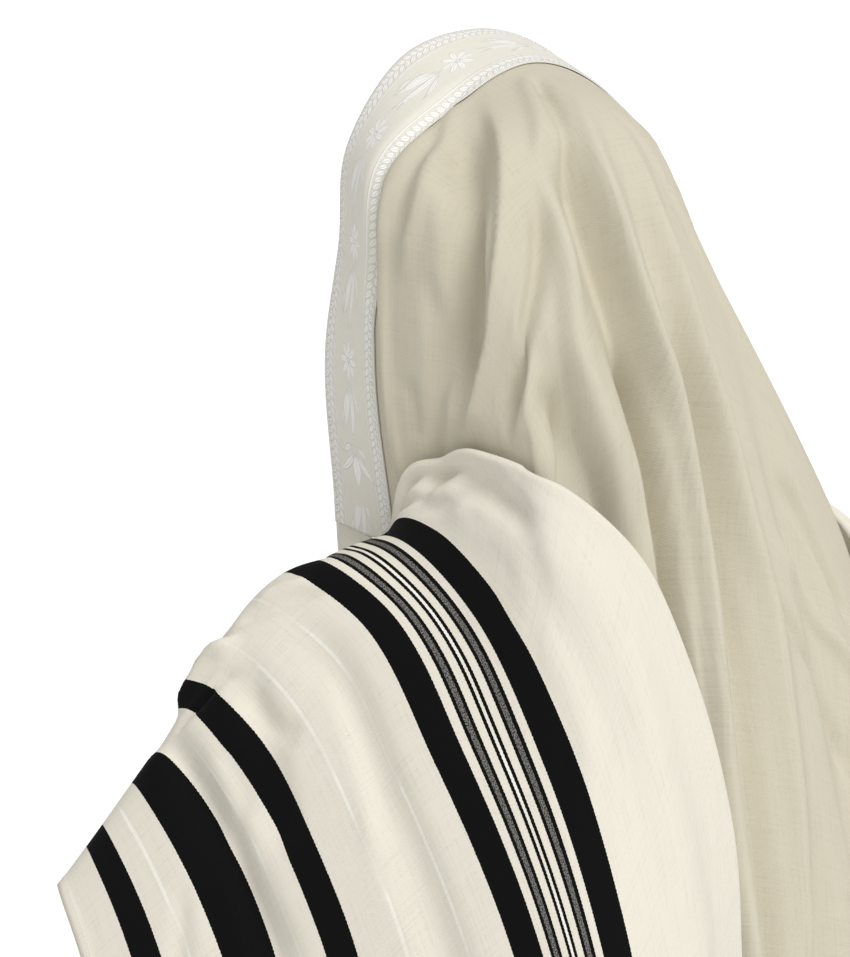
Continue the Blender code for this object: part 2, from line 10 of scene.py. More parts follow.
import bpy
import numpy as np
from bpy.props import FloatProperty, FloatVectorProperty, IntProperty, PointerProperty
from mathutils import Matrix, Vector


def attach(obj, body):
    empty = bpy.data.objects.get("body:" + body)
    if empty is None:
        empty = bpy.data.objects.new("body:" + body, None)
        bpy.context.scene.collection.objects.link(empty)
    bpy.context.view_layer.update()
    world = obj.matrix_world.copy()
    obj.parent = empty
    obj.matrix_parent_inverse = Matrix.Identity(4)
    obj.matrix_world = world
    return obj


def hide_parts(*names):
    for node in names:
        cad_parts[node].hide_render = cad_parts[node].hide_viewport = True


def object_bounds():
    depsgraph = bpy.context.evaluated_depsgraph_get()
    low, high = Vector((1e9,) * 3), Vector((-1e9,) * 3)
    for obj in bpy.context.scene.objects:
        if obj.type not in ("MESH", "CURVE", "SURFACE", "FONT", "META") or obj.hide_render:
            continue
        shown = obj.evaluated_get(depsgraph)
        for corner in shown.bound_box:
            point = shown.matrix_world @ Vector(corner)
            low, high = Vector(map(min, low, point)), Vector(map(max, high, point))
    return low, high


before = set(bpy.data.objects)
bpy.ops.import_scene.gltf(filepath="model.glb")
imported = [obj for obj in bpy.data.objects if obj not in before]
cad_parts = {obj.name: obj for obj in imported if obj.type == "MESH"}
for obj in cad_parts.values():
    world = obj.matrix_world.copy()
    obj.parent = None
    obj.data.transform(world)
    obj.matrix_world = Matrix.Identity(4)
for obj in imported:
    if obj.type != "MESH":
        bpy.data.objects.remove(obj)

bl_info = {
    "name": "Prayer shawl",
    "version": (1, 0, 0),
    "blender": (4, 5, 0),
    "location": "View3D > Sidebar > Prayer shawl",
    "description": "Builds a large prayer shawl as it hangs over the head",
    "category": "Object",
}

CAD_BOX = [list(corner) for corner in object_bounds()]

# ---------------------------------------------------------------- driving sizes
HALF_LENGTH = 0.90
CLOTH_HEIGHT = 1.20
HEM_WIDTH = 0.008
HEM_EXTRA = 0.0007
HEM_STEP = 0.0006
HEM_STITCH_PITCH = 0.0032

ATARAH_WIDTH = 0.080
ATARAH_LIFT = 0.0003
ATARAH_STITCH_INSET = 0.0045
ATARAH_END_INSET = 0.004
ATARAH_RUN = (-0.44, 0.46)
SINK_UNDER_BAND = 0.0008
STITCH_LENGTH = 0.0020
STITCH_RADIUS = 0.00028

# A panel's rolled edge: its radius, its height over the back, the levels v where
# it begins to roll and is rolled, and the steps of its half turn.
FOLD_RADIUS = 0.004
FOLD_LIFT = 0.015
FOLD_START = 0.040
FOLD_FULL = 0.080
FOLD_STEPS = 8
# Folds die out over these distances beside a panel's edge, on the hood and on the
# panel itself, and over this share of their own line at each of its ends.
HOOD_CALM = 0.035
PANEL_CALM = 0.009
FOLD_FADE = 0.22
TUCK_START = 0.105
TUCK_GAP = 0.0010
TUCK_STEPS = 24
SEAM_GAP = 0.0003

# Lengths of cloth that are shared out into columns of the chosen cell size.
HOOD_LEFT_RUN = 0.47
HOOD_RIGHT_RUN = 0.38
PANEL_RUN = 0.47

PATCH_SIZE = 0.066
PATCH_CELLS = 34
PATCH_STITCH_INSET = 0.004
EYELET_INSET = 0.026
EYELET_RADIUS = 0.0042
TASSEL_DROP = 0.0035
WINDINGS = (7, 8, 11, 13)
WINDING_RADIUS = 0.0021
WINDING_GAP = 0.0030
KNOT_RADIUS = 0.0026
KNOT_HEIGHT = 0.0017
KNOT_STEPS = 57
CORE_RADIUS = 0.0019
PLY_TURN = 0.0052

CAMERA_PLACE = (1.955, 2.295, 0.099)
CAMERA_TARGET = (0.0863, -0.0123, -0.3185)
CAMERA_LENS = 143.33
CAMERA_SENSOR = 36.0
TOWARDS_KEY = (0.10, 0.70, 0.68)
KEY_ANGLE = 0.55
FLOOR_GAP = 0.004
BLACK = (0.0, 0.0, 0.0, 1.0)

# ------------------------------------------------------------------ hood and back
# One row for each level v. Each column is the place of one upright thread there.
HOOD_THREADS = (-0.45, -0.32, -0.16, 0.00, 0.08, 0.16, 0.24, 0.32, 0.45)
HOOD_LEVELS = {
    0.00: ((-0.125, -0.095, -0.340), (-0.150, -0.080, -0.205), (-0.148, -0.068, -0.045),
           (-0.025, -0.078, 0.030), (0.053, -0.082, 0.009), (0.106, -0.085, -0.060),
           (0.112, -0.088, -0.135), (0.124, -0.090, -0.215), (0.108, -0.100, -0.345)),
    0.08: ((-0.135, -0.015, -0.350), (-0.148, 0.000, -0.220), (-0.128, 0.005, -0.062),
           (-0.008, -0.003, 0.004), (0.070, -0.001, -0.028), (0.132, -0.006, -0.075),
           (0.138, -0.009, -0.150), (0.134, -0.014, -0.232), (0.112, -0.020, -0.355)),
    0.18: ((-0.160, 0.050, -0.360), (-0.152, 0.060, -0.240), (-0.092, 0.075, -0.085),
           (0.000, 0.090, -0.035), (0.068, 0.096, -0.056), (0.118, 0.090, -0.105),
           (0.122, 0.084, -0.178), (0.118, 0.075, -0.255), (0.085, 0.060, -0.370)),
    0.32: ((-0.262, 0.088, -0.410), (-0.215, 0.108, -0.318), (-0.116, 0.127, -0.202),
           (0.005, 0.155, -0.155), (0.062, 0.158, -0.190), (0.104, 0.150, -0.240),
           (0.108, 0.143, -0.305), (0.112, 0.130, -0.370), (0.130, 0.100, -0.440)),
    0.50: ((-0.345, 0.065, -0.520), (-0.268, 0.130, -0.460), (-0.134, 0.168, -0.378),
           (0.010, 0.185, -0.330), (0.056, 0.186, -0.360), (0.098, 0.180, -0.410),
           (0.125, 0.168, -0.465), (0.150, 0.150, -0.520), (0.200, 0.110, -0.590)),
    0.80: ((-0.390, 0.100, -0.800), (-0.300, 0.170, -0.740), (-0.155, 0.210, -0.670),
           (0.000, 0.225, -0.625), (0.058, 0.220, -0.655), (0.110, 0.210, -0.700),
           (0.155, 0.196, -0.750), (0.200, 0.180, -0.800), (0.250, 0.120, -0.880)),
    1.20: ((-0.400, 0.120, -1.190), (-0.320, 0.200, -1.120), (-0.165, 0.240, -1.060),
           (0.000, 0.250, -1.020), (0.062, 0.244, -1.050), (0.120, 0.230, -1.090),
           (0.170, 0.212, -1.140), (0.220, 0.190, -1.190), (0.270, 0.130, -1.270)),
}

# ------------------------------------------------------------- shoulder panels
# One row for each upright thread |s|: level v, then x, y, z.
LEFT_THREADS = {
    0.52: ((0.00, 0.103, -0.102, -0.413), (0.10, 0.143, 0.006, -0.356), (0.235, 0.147, 0.122, -0.403),
           (0.36, 0.141, 0.195, -0.504), (0.52, 0.138, 0.261, -0.639), (0.85, 0.135, 0.318, -0.965),
           (1.20, 0.135, 0.330, -1.310)),
    0.60: ((0.00, 0.166, -0.098, -0.460), (0.13, 0.208, -0.022, -0.381), (0.20, 0.196, 0.044, -0.408),
           (0.33, 0.190, 0.132, -0.508), (0.49, 0.182, 0.215, -0.642), (0.85, 0.185, 0.285, -0.990),
           (1.20, 0.195, 0.305, -1.340)),
    0.75: ((0.00, 0.236, -0.138, -0.588), (0.15, 0.281, -0.070, -0.500), (0.225, 0.273, -0.013, -0.545),
           (0.35, 0.266, 0.062, -0.644), (0.55, 0.265, 0.130, -0.828), (0.85, 0.270, 0.185, -1.120),
           (1.20, 0.280, 0.205, -1.470)),
    0.90: ((0.00, 0.285, -0.178, -0.722), (0.17, 0.351, -0.140, -0.634), (0.24, 0.356, -0.102, -0.680),
           (0.36, 0.354, -0.055, -0.785), (0.55, 0.350, 0.010, -0.955), (0.85, 0.350, 0.080, -1.240),
           (1.20, 0.356, 0.125, -1.610)),
}
RIGHT_THREADS = {
    0.52: ((0.00, -0.123, -0.102, -0.411), (0.10, -0.192, 0.000, -0.364), (0.20, -0.262, 0.066, -0.358),
           (0.33, -0.312, 0.138, -0.445), (0.51, -0.325, 0.192, -0.610), (0.85, -0.354, 0.214, -0.945),
           (1.20, -0.366, 0.230, -1.295)),
    0.60: ((0.00, -0.190, -0.106, -0.458), (0.13, -0.262, -0.032, -0.378), (0.20, -0.302, 0.018, -0.385),
           (0.33, -0.335, 0.085, -0.470), (0.49, -0.362, 0.140, -0.610), (0.85, -0.415, 0.175, -0.965),
           (1.20, -0.430, 0.190, -1.320)),
    0.75: ((0.00, -0.262, -0.150, -0.580), (0.15, -0.330, -0.085, -0.476), (0.225, -0.370, -0.032, -0.515),
           (0.35, -0.405, 0.030, -0.615), (0.55, -0.430, 0.085, -0.805), (0.85, -0.460, 0.120, -1.100),
           (1.20, -0.468, 0.140, -1.440)),
    0.90: ((0.00, -0.330, -0.195, -0.700), (0.17, -0.398, -0.155, -0.605), (0.24, -0.430, -0.110, -0.655),
           (0.36, -0.450, -0.060, -0.765), (0.55, -0.465, 0.000, -0.945), (0.85, -0.480, 0.040, -1.235),
           (1.20, -0.488, 0.070, -1.580)),
}

# Where a panel's folded edge runs over the cloth of the back: the panel's v and
# |s| there, and s and v of the cloth beneath.
LEFT_FOLD_EDGE = (
    (0.00, 0.478, 0.478, 0.000),
    (0.07, 0.475, 0.475, 0.070),
    (0.08, 0.472, 0.472, 0.080),
    (0.11, 0.450, 0.402, 0.108),
    (0.16, 0.440, 0.366, 0.162),
    (0.21, 0.430, 0.310, 0.236),
    (0.25, 0.420, 0.235, 0.312),
    (0.30, 0.410, 0.160, 0.392),
    (0.36, 0.400, 0.098, 0.470),
    (0.43, 0.390, 0.044, 0.545),
    (0.50, 0.380, 0.004, 0.630),
    (0.60, 0.370, -0.020, 0.745),
    (0.70, 0.365, -0.018, 0.850),
    (1.20, 0.360, -0.005, 1.360),
)
RIGHT_FOLD_EDGE = (
    (0.00, 0.478, -0.478, 0.000),
    (0.07, 0.475, -0.475, 0.070),
    (0.08, 0.472, -0.472, 0.080),
    (0.11, 0.455, -0.428, 0.110),
    (0.20, 0.445, -0.410, 0.220),
    (0.28, 0.440, -0.385, 0.320),
    (0.36, 0.435, -0.365, 0.420),
    (0.50, 0.430, -0.340, 0.570),
    (0.70, 0.425, -0.320, 0.780),
    (1.20, 0.420, -0.310, 1.300),
)

# ----------------------------------------------------------------------- folds
# One row for each fold: height (a trough is negative), its reach on the +s side
# and on the other side of its downward line (above and below it when the line
# runs sideways to +s), how sharp its crest is (1 is round, less is sharper), and
# its line as (v, s) places. A fold rises from nothing at both ends of its line.
HOOD_FOLDS = {
    "ear_hollow": (-0.027, 0.034, 0.028, 0.95,
                   ((0.095, 0.080), (0.138, 0.118), (0.163, 0.150), (0.176, 0.192), (0.178, 0.235),
                    (0.160, 0.330))),
    "ear_ridge": (0.010, 0.008, 0.034, 0.75,
                  ((0.080, 0.045), (0.130, 0.080), (0.165, 0.108), (0.195, 0.138), (0.214, 0.170),
                   (0.218, 0.200), (0.206, 0.272), (0.178, 0.362), (0.160, 0.420))),
    "nape_groove": (-0.011, 0.020, 0.022, 0.95,
                    ((0.190, 0.095), (0.232, 0.110), (0.260, 0.137), (0.270, 0.172), (0.258, 0.230),
                     (0.246, 0.290))),
    "nape_line": (0.005, 0.018, 0.018, 0.9,
                  ((0.330, 0.125), (0.310, 0.151), (0.296, 0.196), (0.264, 0.259), (0.242, 0.310),
                   (0.230, 0.340))),
    "nape_hollow": (-0.027, 0.074, 0.058, 1.0,
                    ((0.290, 0.190), (0.345, 0.156), (0.395, 0.128), (0.455, 0.096), (0.530, 0.062))),
    "nape_swell": (0.011, 0.024, 0.028, 1.0,
                   ((0.200, 0.080), (0.252, 0.087), (0.306, 0.102), (0.362, 0.098), (0.432, 0.074),
                    (0.520, 0.052))),
    "spine_trough": (-0.027, 0.044, 0.026, 0.9,
                     ((0.170, 0.048), (0.242, 0.052), (0.300, 0.046), (0.350, 0.037), (0.414, 0.013),
                      (0.460, 0.000))),
    "spine_gully": (-0.035, 0.036, 0.015, 0.9,
                    ((0.34, 0.036), (0.38, 0.026), (0.43, 0.010), (0.484, -0.002), (0.516, -0.006),
                     (0.55, -0.008), (0.59, -0.005), (0.65, -0.003), (0.75, -0.012), (0.90, -0.020))),
    "spine_ridge": (0.016, 0.012, 0.028, 0.9,
                    ((0.100, -0.024), (0.150, 0.004), (0.208, 0.026), (0.272, 0.025), (0.318, 0.019),
                     (0.366, 0.006), (0.402, -0.010), (0.448, -0.024), (0.492, -0.032), (0.564, -0.037),
                     (0.648, -0.033), (0.726, -0.032), (0.90, -0.045), (1.10, -0.070))),
    "spine_second": (-0.006, 0.013, 0.020, 0.9,
                     ((0.20, -0.006), (0.27, -0.008), (0.36, -0.026), (0.45, -0.058), (0.54, -0.072),
                      (0.65, -0.070))),
    "back_trough": (-0.021, 0.024, 0.026, 0.9,
                    ((0.30, -0.036), (0.36, -0.042), (0.45, -0.066), (0.60, -0.078), (0.73, -0.072),
                     (1.00, -0.084))),
    "back_ridge": (0.014, 0.018, 0.032, 0.85,
                   ((0.160, -0.030), (0.214, -0.034), (0.282, -0.038), (0.368, -0.059), (0.430, -0.086),
                    (0.494, -0.102), (0.552, -0.114), (0.632, -0.114), (0.730, -0.112), (1.00, -0.130))),
    "blade_trough": (-0.012, 0.040, 0.040, 1.0,
                     ((0.30, -0.140), (0.50, -0.190), (0.80, -0.215), (1.20, -0.225))),
    "far_ear_hollow": (-0.010, 0.022, 0.030, 1.0, ((0.10, -0.160), (0.15, -0.230), (0.17, -0.330))),
    "far_nape_trough": (-0.010, 0.030, 0.030, 1.0, ((0.14, -0.080), (0.24, -0.160), (0.30, -0.260))),
    "hem_wave_a": (-0.022, 0.045, 0.045, 1.0, ((0.70, -0.130), (1.00, -0.140), (1.60, -0.150))),
    "hem_wave_b": (-0.020, 0.040, 0.040, 1.0, ((0.75, -0.240), (1.05, -0.250), (1.60, -0.255))),
    "hem_wave_c": (-0.018, 0.035, 0.035, 1.0, ((0.80, -0.030), (1.05, -0.035), (1.60, -0.040))),
    # the small folds
    "band_turn": (-0.008, 0.017, 0.010, 0.9,
                  ((0.074, 0.030), (0.074, 0.080), (0.075, 0.130), (0.075, 0.165), (0.077, 0.215),
                   (0.079, 0.290))),
    "rim_crease": (0.007, 0.006, 0.011, 0.8,
                   ((0.088, 0.150), (0.090, 0.219), (0.091, 0.280), (0.093, 0.325), (0.094, 0.359),
                    (0.096, 0.440))),
    "temple_streak": (0.005, 0.010, 0.014, 0.8,
                      ((0.070, 0.060), (0.100, 0.104), (0.116, 0.135), (0.124, 0.170), (0.116, 0.215),
                       (0.110, 0.250))),
    "temple_shade": (-0.005, 0.012, 0.014, 0.9,
                     ((0.090, 0.090), (0.100, 0.130), (0.106, 0.175), (0.104, 0.215))),
    "cheek_trough": (-0.005, 0.014, 0.018, 0.9,
                     ((0.135, 0.220), (0.146, 0.286), (0.144, 0.345), (0.135, 0.400))),
    "cheek_dent": (-0.003, 0.010, 0.012, 1.0, ((0.112, 0.310), (0.120, 0.336), (0.118, 0.370))),
    "cheek_swell": (0.004, 0.014, 0.014, 1.0,
                    ((0.166, 0.270), (0.166, 0.300), (0.160, 0.350), (0.165, 0.400))),
    "crown_line_a": (0.005, 0.012, 0.012, 0.9,
                     ((0.090, 0.010), (0.116, 0.026), (0.162, 0.057), (0.196, 0.089))),
    "crown_line_b": (-0.007, 0.012, 0.011, 0.9,
                     ((0.095, 0.005), (0.118, 0.014), (0.192, 0.044), (0.224, 0.053))),
    "blade_streak_a": (-0.008, 0.014, 0.018, 0.9,
                       ((0.42, -0.185), (0.445, -0.205), (0.467, -0.222), (0.495, -0.240), (0.53, -0.260))),
    "blade_streak_b": (0.007, 0.013, 0.017, 0.9,
                       ((0.48, -0.150), (0.51, -0.170), (0.535, -0.200), (0.56, -0.235), (0.60, -0.260))),
    "blade_streak_c": (-0.008, 0.014, 0.018, 0.9,
                       ((0.52, -0.115), (0.55, -0.135), (0.59, -0.180), (0.62, -0.200), (0.68, -0.225))),
    "far_streak_a": (0.0035, 0.012, 0.009, 0.8,
                     ((0.100, -0.110), (0.160, -0.150), (0.200, -0.220), (0.200, -0.310))),
    "far_streak_b": (-0.0035, 0.010, 0.012, 0.9, ((0.105, -0.060), (0.180, -0.110), (0.240, -0.200))),
    "far_streak_c": (0.0040, 0.014, 0.012, 0.8,
                     ((0.150, -0.030), (0.230, -0.090), (0.320, -0.170), (0.380, -0.270))),
    "low_streak_a": (0.0040, 0.014, 0.022, 0.9, ((0.72, -0.100), (0.90, -0.108), (1.15, -0.105))),
    "low_streak_b": (0.0040, 0.016, 0.020, 0.9, ((0.66, -0.186), (0.84, -0.196), (1.08, -0.200))),
    "low_streak_c": (-0.0040, 0.014, 0.014, 0.9, ((0.80, -0.170), (0.95, -0.176), (1.30, -0.180))),
}
LEFT_FOLDS = {
    "rolled_rim": (0.005, 0.022, 0.020, 0.8, ((0.09, 0.478), (0.16, 0.466), (0.24, 0.456), (0.34, 0.440))),
    "blade_swell": (0.008, 0.040, 0.030, 1.0, ((0.25, 0.440), (0.45, 0.430), (0.75, 0.430))),
    "arm_trough_a": (-0.008, 0.030, 0.030, 1.0, ((0.14, 0.640), (0.30, 0.650), (0.60, 0.660))),
    "arm_trough_b": (-0.011, 0.018, 0.028, 0.9,
                     ((0.10, 0.764), (0.20, 0.774), (0.28, 0.776), (0.40, 0.770))),
    "hem_wave_a": (-0.024, 0.045, 0.045, 1.0, ((0.60, 0.450), (0.95, 0.460), (1.60, 0.465))),
    "hem_wave_b": (-0.024, 0.045, 0.045, 1.0, ((0.50, 0.580), (0.90, 0.585), (1.60, 0.590))),
    "hem_wave_c": (-0.026, 0.045, 0.045, 1.0, ((0.45, 0.700), (0.85, 0.705), (1.60, 0.710))),
    "hem_wave_d": (-0.022, 0.040, 0.040, 1.0, ((0.45, 0.820), (0.80, 0.822), (1.60, 0.825))),
    # the small folds
    "rim_slope": (-0.0095, 0.028, 0.028, 1.0,
                  ((0.075, 0.480), (0.105, 0.464), (0.130, 0.450), (0.165, 0.441), (0.205, 0.434),
                   (0.250, 0.430))),
    "rim_valley_a": (-0.0060, 0.009, 0.012, 0.9,
                     ((0.070, 0.495), (0.085, 0.490), (0.102, 0.481), (0.138, 0.470), (0.158, 0.450),
                      (0.182, 0.444))),
    "rim_crest": (0.0035, 0.008, 0.008, 0.8,
                  ((0.090, 0.480), (0.114, 0.470), (0.144, 0.446), (0.176, 0.439), (0.198, 0.435),
                   (0.220, 0.432))),
    "rim_valley_b": (-0.0065, 0.014, 0.012, 0.9,
                     ((0.110, 0.488), (0.136, 0.479), (0.176, 0.466), (0.192, 0.453), (0.204, 0.449),
                      (0.230, 0.444), (0.262, 0.435), (0.300, 0.435))),
    "olive_valley": (-0.0075, 0.024, 0.018, 0.9,
                     ((0.175, 0.462), (0.220, 0.454), (0.262, 0.446), (0.310, 0.456))),
    "arm_dent_a": (-0.0070, 0.030, 0.030, 1.0,
                   ((0.15, 0.768), (0.20, 0.776), (0.26, 0.784), (0.34, 0.792), (0.42, 0.800))),
    "arm_dent_b": (-0.0060, 0.025, 0.025, 1.0,
                   ((0.15, 0.690), (0.18, 0.700), (0.23, 0.720), (0.30, 0.740))),
    "back_swell_a": (0.0030, 0.020, 0.020, 1.0, ((0.290, 0.480), (0.350, 0.478), (0.430, 0.484))),
    "back_swell_b": (0.0030, 0.020, 0.020, 1.0, ((0.400, 0.430), (0.480, 0.440), (0.600, 0.438))),
    "elbow_crease": (-0.0055, 0.006, 0.012, 0.7,
                     ((0.168, 0.690), (0.154, 0.704), (0.150, 0.729), (0.138, 0.760))),
    "elbow_flap": (0.0110, 0.010, 0.024, 0.8,
                   ((0.150, 0.672), (0.122, 0.690), (0.114, 0.715), (0.120, 0.745))),
    "arm_crease": (-0.0050, 0.010, 0.012, 0.8,
                   ((0.125, 0.660), (0.142, 0.652), (0.154, 0.634), (0.166, 0.600))),
    "arm_crest": (0.0040, 0.012, 0.012, 0.9, ((0.130, 0.640), (0.140, 0.620), (0.156, 0.596))),
    "arm_dimple": (-0.0045, 0.014, 0.016, 1.0, ((0.175, 0.700), (0.208, 0.703), (0.240, 0.690))),
    "arm_dimple_b": (-0.0040, 0.012, 0.014, 1.0, ((0.190, 0.740), (0.218, 0.743), (0.250, 0.752))),
    "arm_streak_a": (0.0030, 0.014, 0.014, 0.9, ((0.200, 0.655), (0.270, 0.662), (0.360, 0.676))),
    "arm_streak_b": (0.0035, 0.014, 0.012, 0.9, ((0.220, 0.770), (0.290, 0.790), (0.380, 0.800))),
    "arm_streak_c": (-0.0035, 0.012, 0.014, 0.9, ((0.240, 0.810), (0.300, 0.835), (0.400, 0.850))),
    "front_streak_a": (-0.0060, 0.018, 0.018, 1.0, ((0.020, 0.560), (0.070, 0.575), (0.120, 0.585))),
    "front_streak_b": (0.0050, 0.018, 0.018, 1.0, ((0.000, 0.640), (0.060, 0.660), (0.110, 0.670))),
    "front_streak_c": (-0.0060, 0.018, 0.018, 1.0, ((0.010, 0.780), (0.070, 0.790), (0.130, 0.800))),
}
RIGHT_FOLDS = {
    "arm_trough_a": (-0.010, 0.030, 0.030, 1.0, ((0.14, 0.600), (0.34, 0.610), (0.70, 0.620))),
    "arm_trough_b": (-0.010, 0.025, 0.025, 1.0, ((0.12, 0.780), (0.30, 0.785), (0.50, 0.790))),
    "hem_wave_a": (-0.018, 0.045, 0.045, 1.0, ((0.55, 0.560), (0.90, 0.565), (1.60, 0.570))),
    "hem_wave_b": (-0.022, 0.050, 0.050, 1.0, ((0.45, 0.680), (0.85, 0.685), (1.60, 0.690))),
    "hem_wave_c": (-0.020, 0.045, 0.045, 1.0, ((0.45, 0.800), (0.85, 0.802), (1.60, 0.805))),
    # the small folds
    "rim_valley": (-0.0040, 0.006, 0.008, 0.8, ((0.085, 0.492), (0.130, 0.478), (0.190, 0.466))),
    "shoulder_streak_a": (0.0035, 0.012, 0.014, 0.9, ((0.150, 0.500), (0.240, 0.505), (0.340, 0.515))),
    "shoulder_streak_b": (-0.0040, 0.014, 0.012, 0.9, ((0.160, 0.550), (0.260, 0.560), (0.380, 0.566))),
    "elbow_crease": (-0.0050, 0.008, 0.012, 0.8, ((0.160, 0.655), (0.155, 0.690), (0.165, 0.730))),
    "elbow_swell": (0.0060, 0.020, 0.020, 0.9, ((0.140, 0.650), (0.120, 0.690), (0.130, 0.735))),
    "arm_streak_a": (0.0035, 0.014, 0.014, 0.9, ((0.210, 0.680), (0.300, 0.690), (0.400, 0.700))),
    "arm_streak_b": (-0.0035, 0.012, 0.014, 0.9, ((0.220, 0.830), (0.300, 0.845), (0.420, 0.850))),
    "front_streak_a": (-0.0060, 0.018, 0.018, 1.0, ((0.010, 0.570), (0.070, 0.580), (0.120, 0.590))),
    "front_streak_b": (0.0050, 0.018, 0.018, 1.0, ((0.000, 0.680), (0.060, 0.700), (0.110, 0.710))),
    "front_streak_c": (-0.0060, 0.018, 0.018, 1.0, ((0.020, 0.820), (0.080, 0.826), (0.140, 0.830))),
}

# Each end's threads, folded edge and folds, and the sign of its s.
SIDES = {
    "left": (LEFT_THREADS, LEFT_FOLD_EDGE, LEFT_FOLDS, 1.0),
    "right": (RIGHT_THREADS, RIGHT_FOLD_EDGE, RIGHT_FOLDS, -1.0),
}

# ----------------------------------------------------------------- woven bands
# Bands across each end of the shawl: how far from the end edge one starts and
# stops, and its yarn. Those of the wide group are given from its middle line.
SINGLE_BANDS = (
    (0.0345, 0.0545, "dark"),
    (0.0710, 0.0735, "satin"),
    (0.0920, 0.1232, "dark"),
    (0.1420, 0.1445, "satin"),
    (0.1615, 0.1845, "dark"),
    (0.2180, 0.2210, "satin"),
    (0.2605, 0.2635, "satin"),
)
GROUP_MIDDLE = 0.3507
GROUP_BANDS = (
    (0.0000, 0.0013, "satin"),
    (0.0013, 0.0042, "dark"),
    (0.0108, 0.0138, "dark"),
    (0.0138, 0.0182, "grey"),
    (0.0182, 0.0216, "dark"),
    (0.0287, 0.0545, "dark"),
)
# How much closer together the bands lie on an end than they are listed.
CLOSER = {"left": 1.0, "right": 1.06}
YARN_CHANNEL = {"dark": 0, "grey": 1, "satin": 2}
BAND_REACH = 0.450

# The neckband's woven ornament, in metres from each motif's middle: along the
# band, across it, the leaf's angle in degrees, its length, its width and its bend.
FROND_LEAVES = (
    (-0.0300, 0.0000, 16, 0.0560, 0.0053, 7.0),
    (-0.0270, -0.0010, -2, 0.0480, 0.0050, 6.0),
    (-0.0230, -0.0030, -24, 0.0340, 0.0044, -6.0),
    (-0.0260, 0.0020, 40, 0.0300, 0.0041, 9.0),
    (-0.0060, -0.0120, -16, 0.0200, 0.0033, -8.0),
    (0.0020, 0.0020, 4, 0.0240, 0.0026, 0.0),
)
BUD_LEAVES = (
    (-0.0120, 0.0000, 0, 0.0280, 0.0110, 0.0),
    (-0.0130, 0.0030, 30, 0.0290, 0.0066, -12.0),
    (-0.0130, -0.0030, -30, 0.0290, 0.0066, 12.0),
    (-0.0230, 0.0000, 0, 0.0130, 0.0034, 0.0),
    (-0.0200, 0.0040, 64, 0.0170, 0.0050, 10.0),
    (-0.0200, -0.0040, -64, 0.0170, 0.0050, -10.0),
)
MOTIF_REPEAT = 0.092
FLOWER_SHIFT = 0.046
FLOWER_PETALS = 8
FLOWER_RADIUS = 0.0130
BUD_PLACE = 0.412
BUD_CLEAR = 0.030
BRAID_PITCH = 0.0066
BRAID_ANGLE = np.radians(38.0)
BRAID_LEAF_LENGTH = 0.0104
BRAID_LEAF_WIDTH = 0.0046
BRAID_MIDDLES = (0.0080, 0.0720)
BRAID_HALF = 0.0066
CORD_LINES = (0.0010, 0.0158, 0.0642, 0.0790)


# -------------------------------------------------------------- curves and grids
def smooth_step(value, low, high):
    """3t^2 - 2t^3 of how far value is from low to high, held at 0 and 1 outside."""
    t = np.clip((value - low) / (high - low), 0.0, 1.0)
    return t * t * (3.0 - 2.0 * t)


def curve_through(knots, places, at):
    """A smooth curve through places at rising knots: a cubic on each span whose end
    slopes are the two neighbours' mean, weighted by span; straight beyond the ends.

    knots is (..., k), places (..., k, d) and at (..., m), and the answer (..., m, d).
    """
    knots = np.asarray(knots, float)
    places = np.asarray(places, float)
    at = np.asarray(at, float)
    step = np.diff(knots, axis=-1)[..., None]
    slope = np.diff(places, axis=-2) / step
    inner = slope[..., :-1, :] * step[..., 1:, :] + slope[..., 1:, :] * step[..., :-1, :]
    inner = inner / (step[..., 1:, :] + step[..., :-1, :])
    slope = np.concatenate([slope[..., :1, :], inner, slope[..., -1:, :]], axis=-2)
    cell = (at[..., :, None] >= knots[..., None, 1:]).sum(axis=-1)
    cell = np.minimum(cell, knots.shape[-1] - 2)

    def pick(table, index):
        table = np.broadcast_to(table, index.shape[:-1] + table.shape[-2:])
        return np.take_along_axis(table, index[..., None], axis=-2)

    start = pick(knots[..., None], cell)
    length = pick(step, cell)
    t = (at[..., None] - start) / length
    beyond = t - np.clip(t, 0.0, 1.0)
    t = np.clip(t, 0.0, 1.0)
    slope_a = pick(slope, cell)
    slope_b = pick(slope, cell + 1)
    curve = (2 * t**3 - 3 * t**2 + 1) * pick(places, cell) + (3 * t**2 - 2 * t**3) * pick(places, cell + 1)
    curve = curve + length * ((t**3 - 2 * t**2 + t) * slope_a + (t**3 - t**2) * slope_b)
    return curve + beyond * length * np.where(beyond < 0, slope_a, slope_b)


def unit(vectors):
    """Vectors of the same directions, each one long."""
    return vectors / np.maximum(np.linalg.norm(vectors, axis=-1, keepdims=True), 1e-12)


def surface_normals(surface, s, v, side=1.0):
    """Outward unit normals: the cross product of surface's steps along s and v."""
    step = 0.001
    along_s = surface(s + step, v) - surface(s - step, v)
    along_v = surface(s, v + step) - surface(s, v - step)
    return unit(np.cross(along_s, along_v)) * side


def grid_normals(points, side):
    """Outward unit normals of a grid: the cross product of its rows' and columns'
    steps, each then drawn towards its four neighbours' mean."""
    along_s = np.gradient(points, axis=1)
    along_v = np.gradient(points, axis=0)
    normals = unit(np.cross(along_s, along_v)) * side
    wide = np.pad(normals, ((1, 1), (1, 1), (0, 0)), mode="edge")
    around = wide[:-2, 1:-1] + wide[2:, 1:-1] + wide[1:-1, :-2] + wide[1:-1, 2:]
    return unit(normals + around)


def fold_line(places, parts=5):
    """The corners of a many-sided line that follows a fold smoothly."""
    places = np.array(places)
    knots = np.concatenate([[0.0], np.cumsum(np.linalg.norm(np.diff(places, axis=0), axis=1))])
    return curve_through(knots, places, np.linspace(0.0, knots[-1], parts * (len(knots) - 1) + 1))


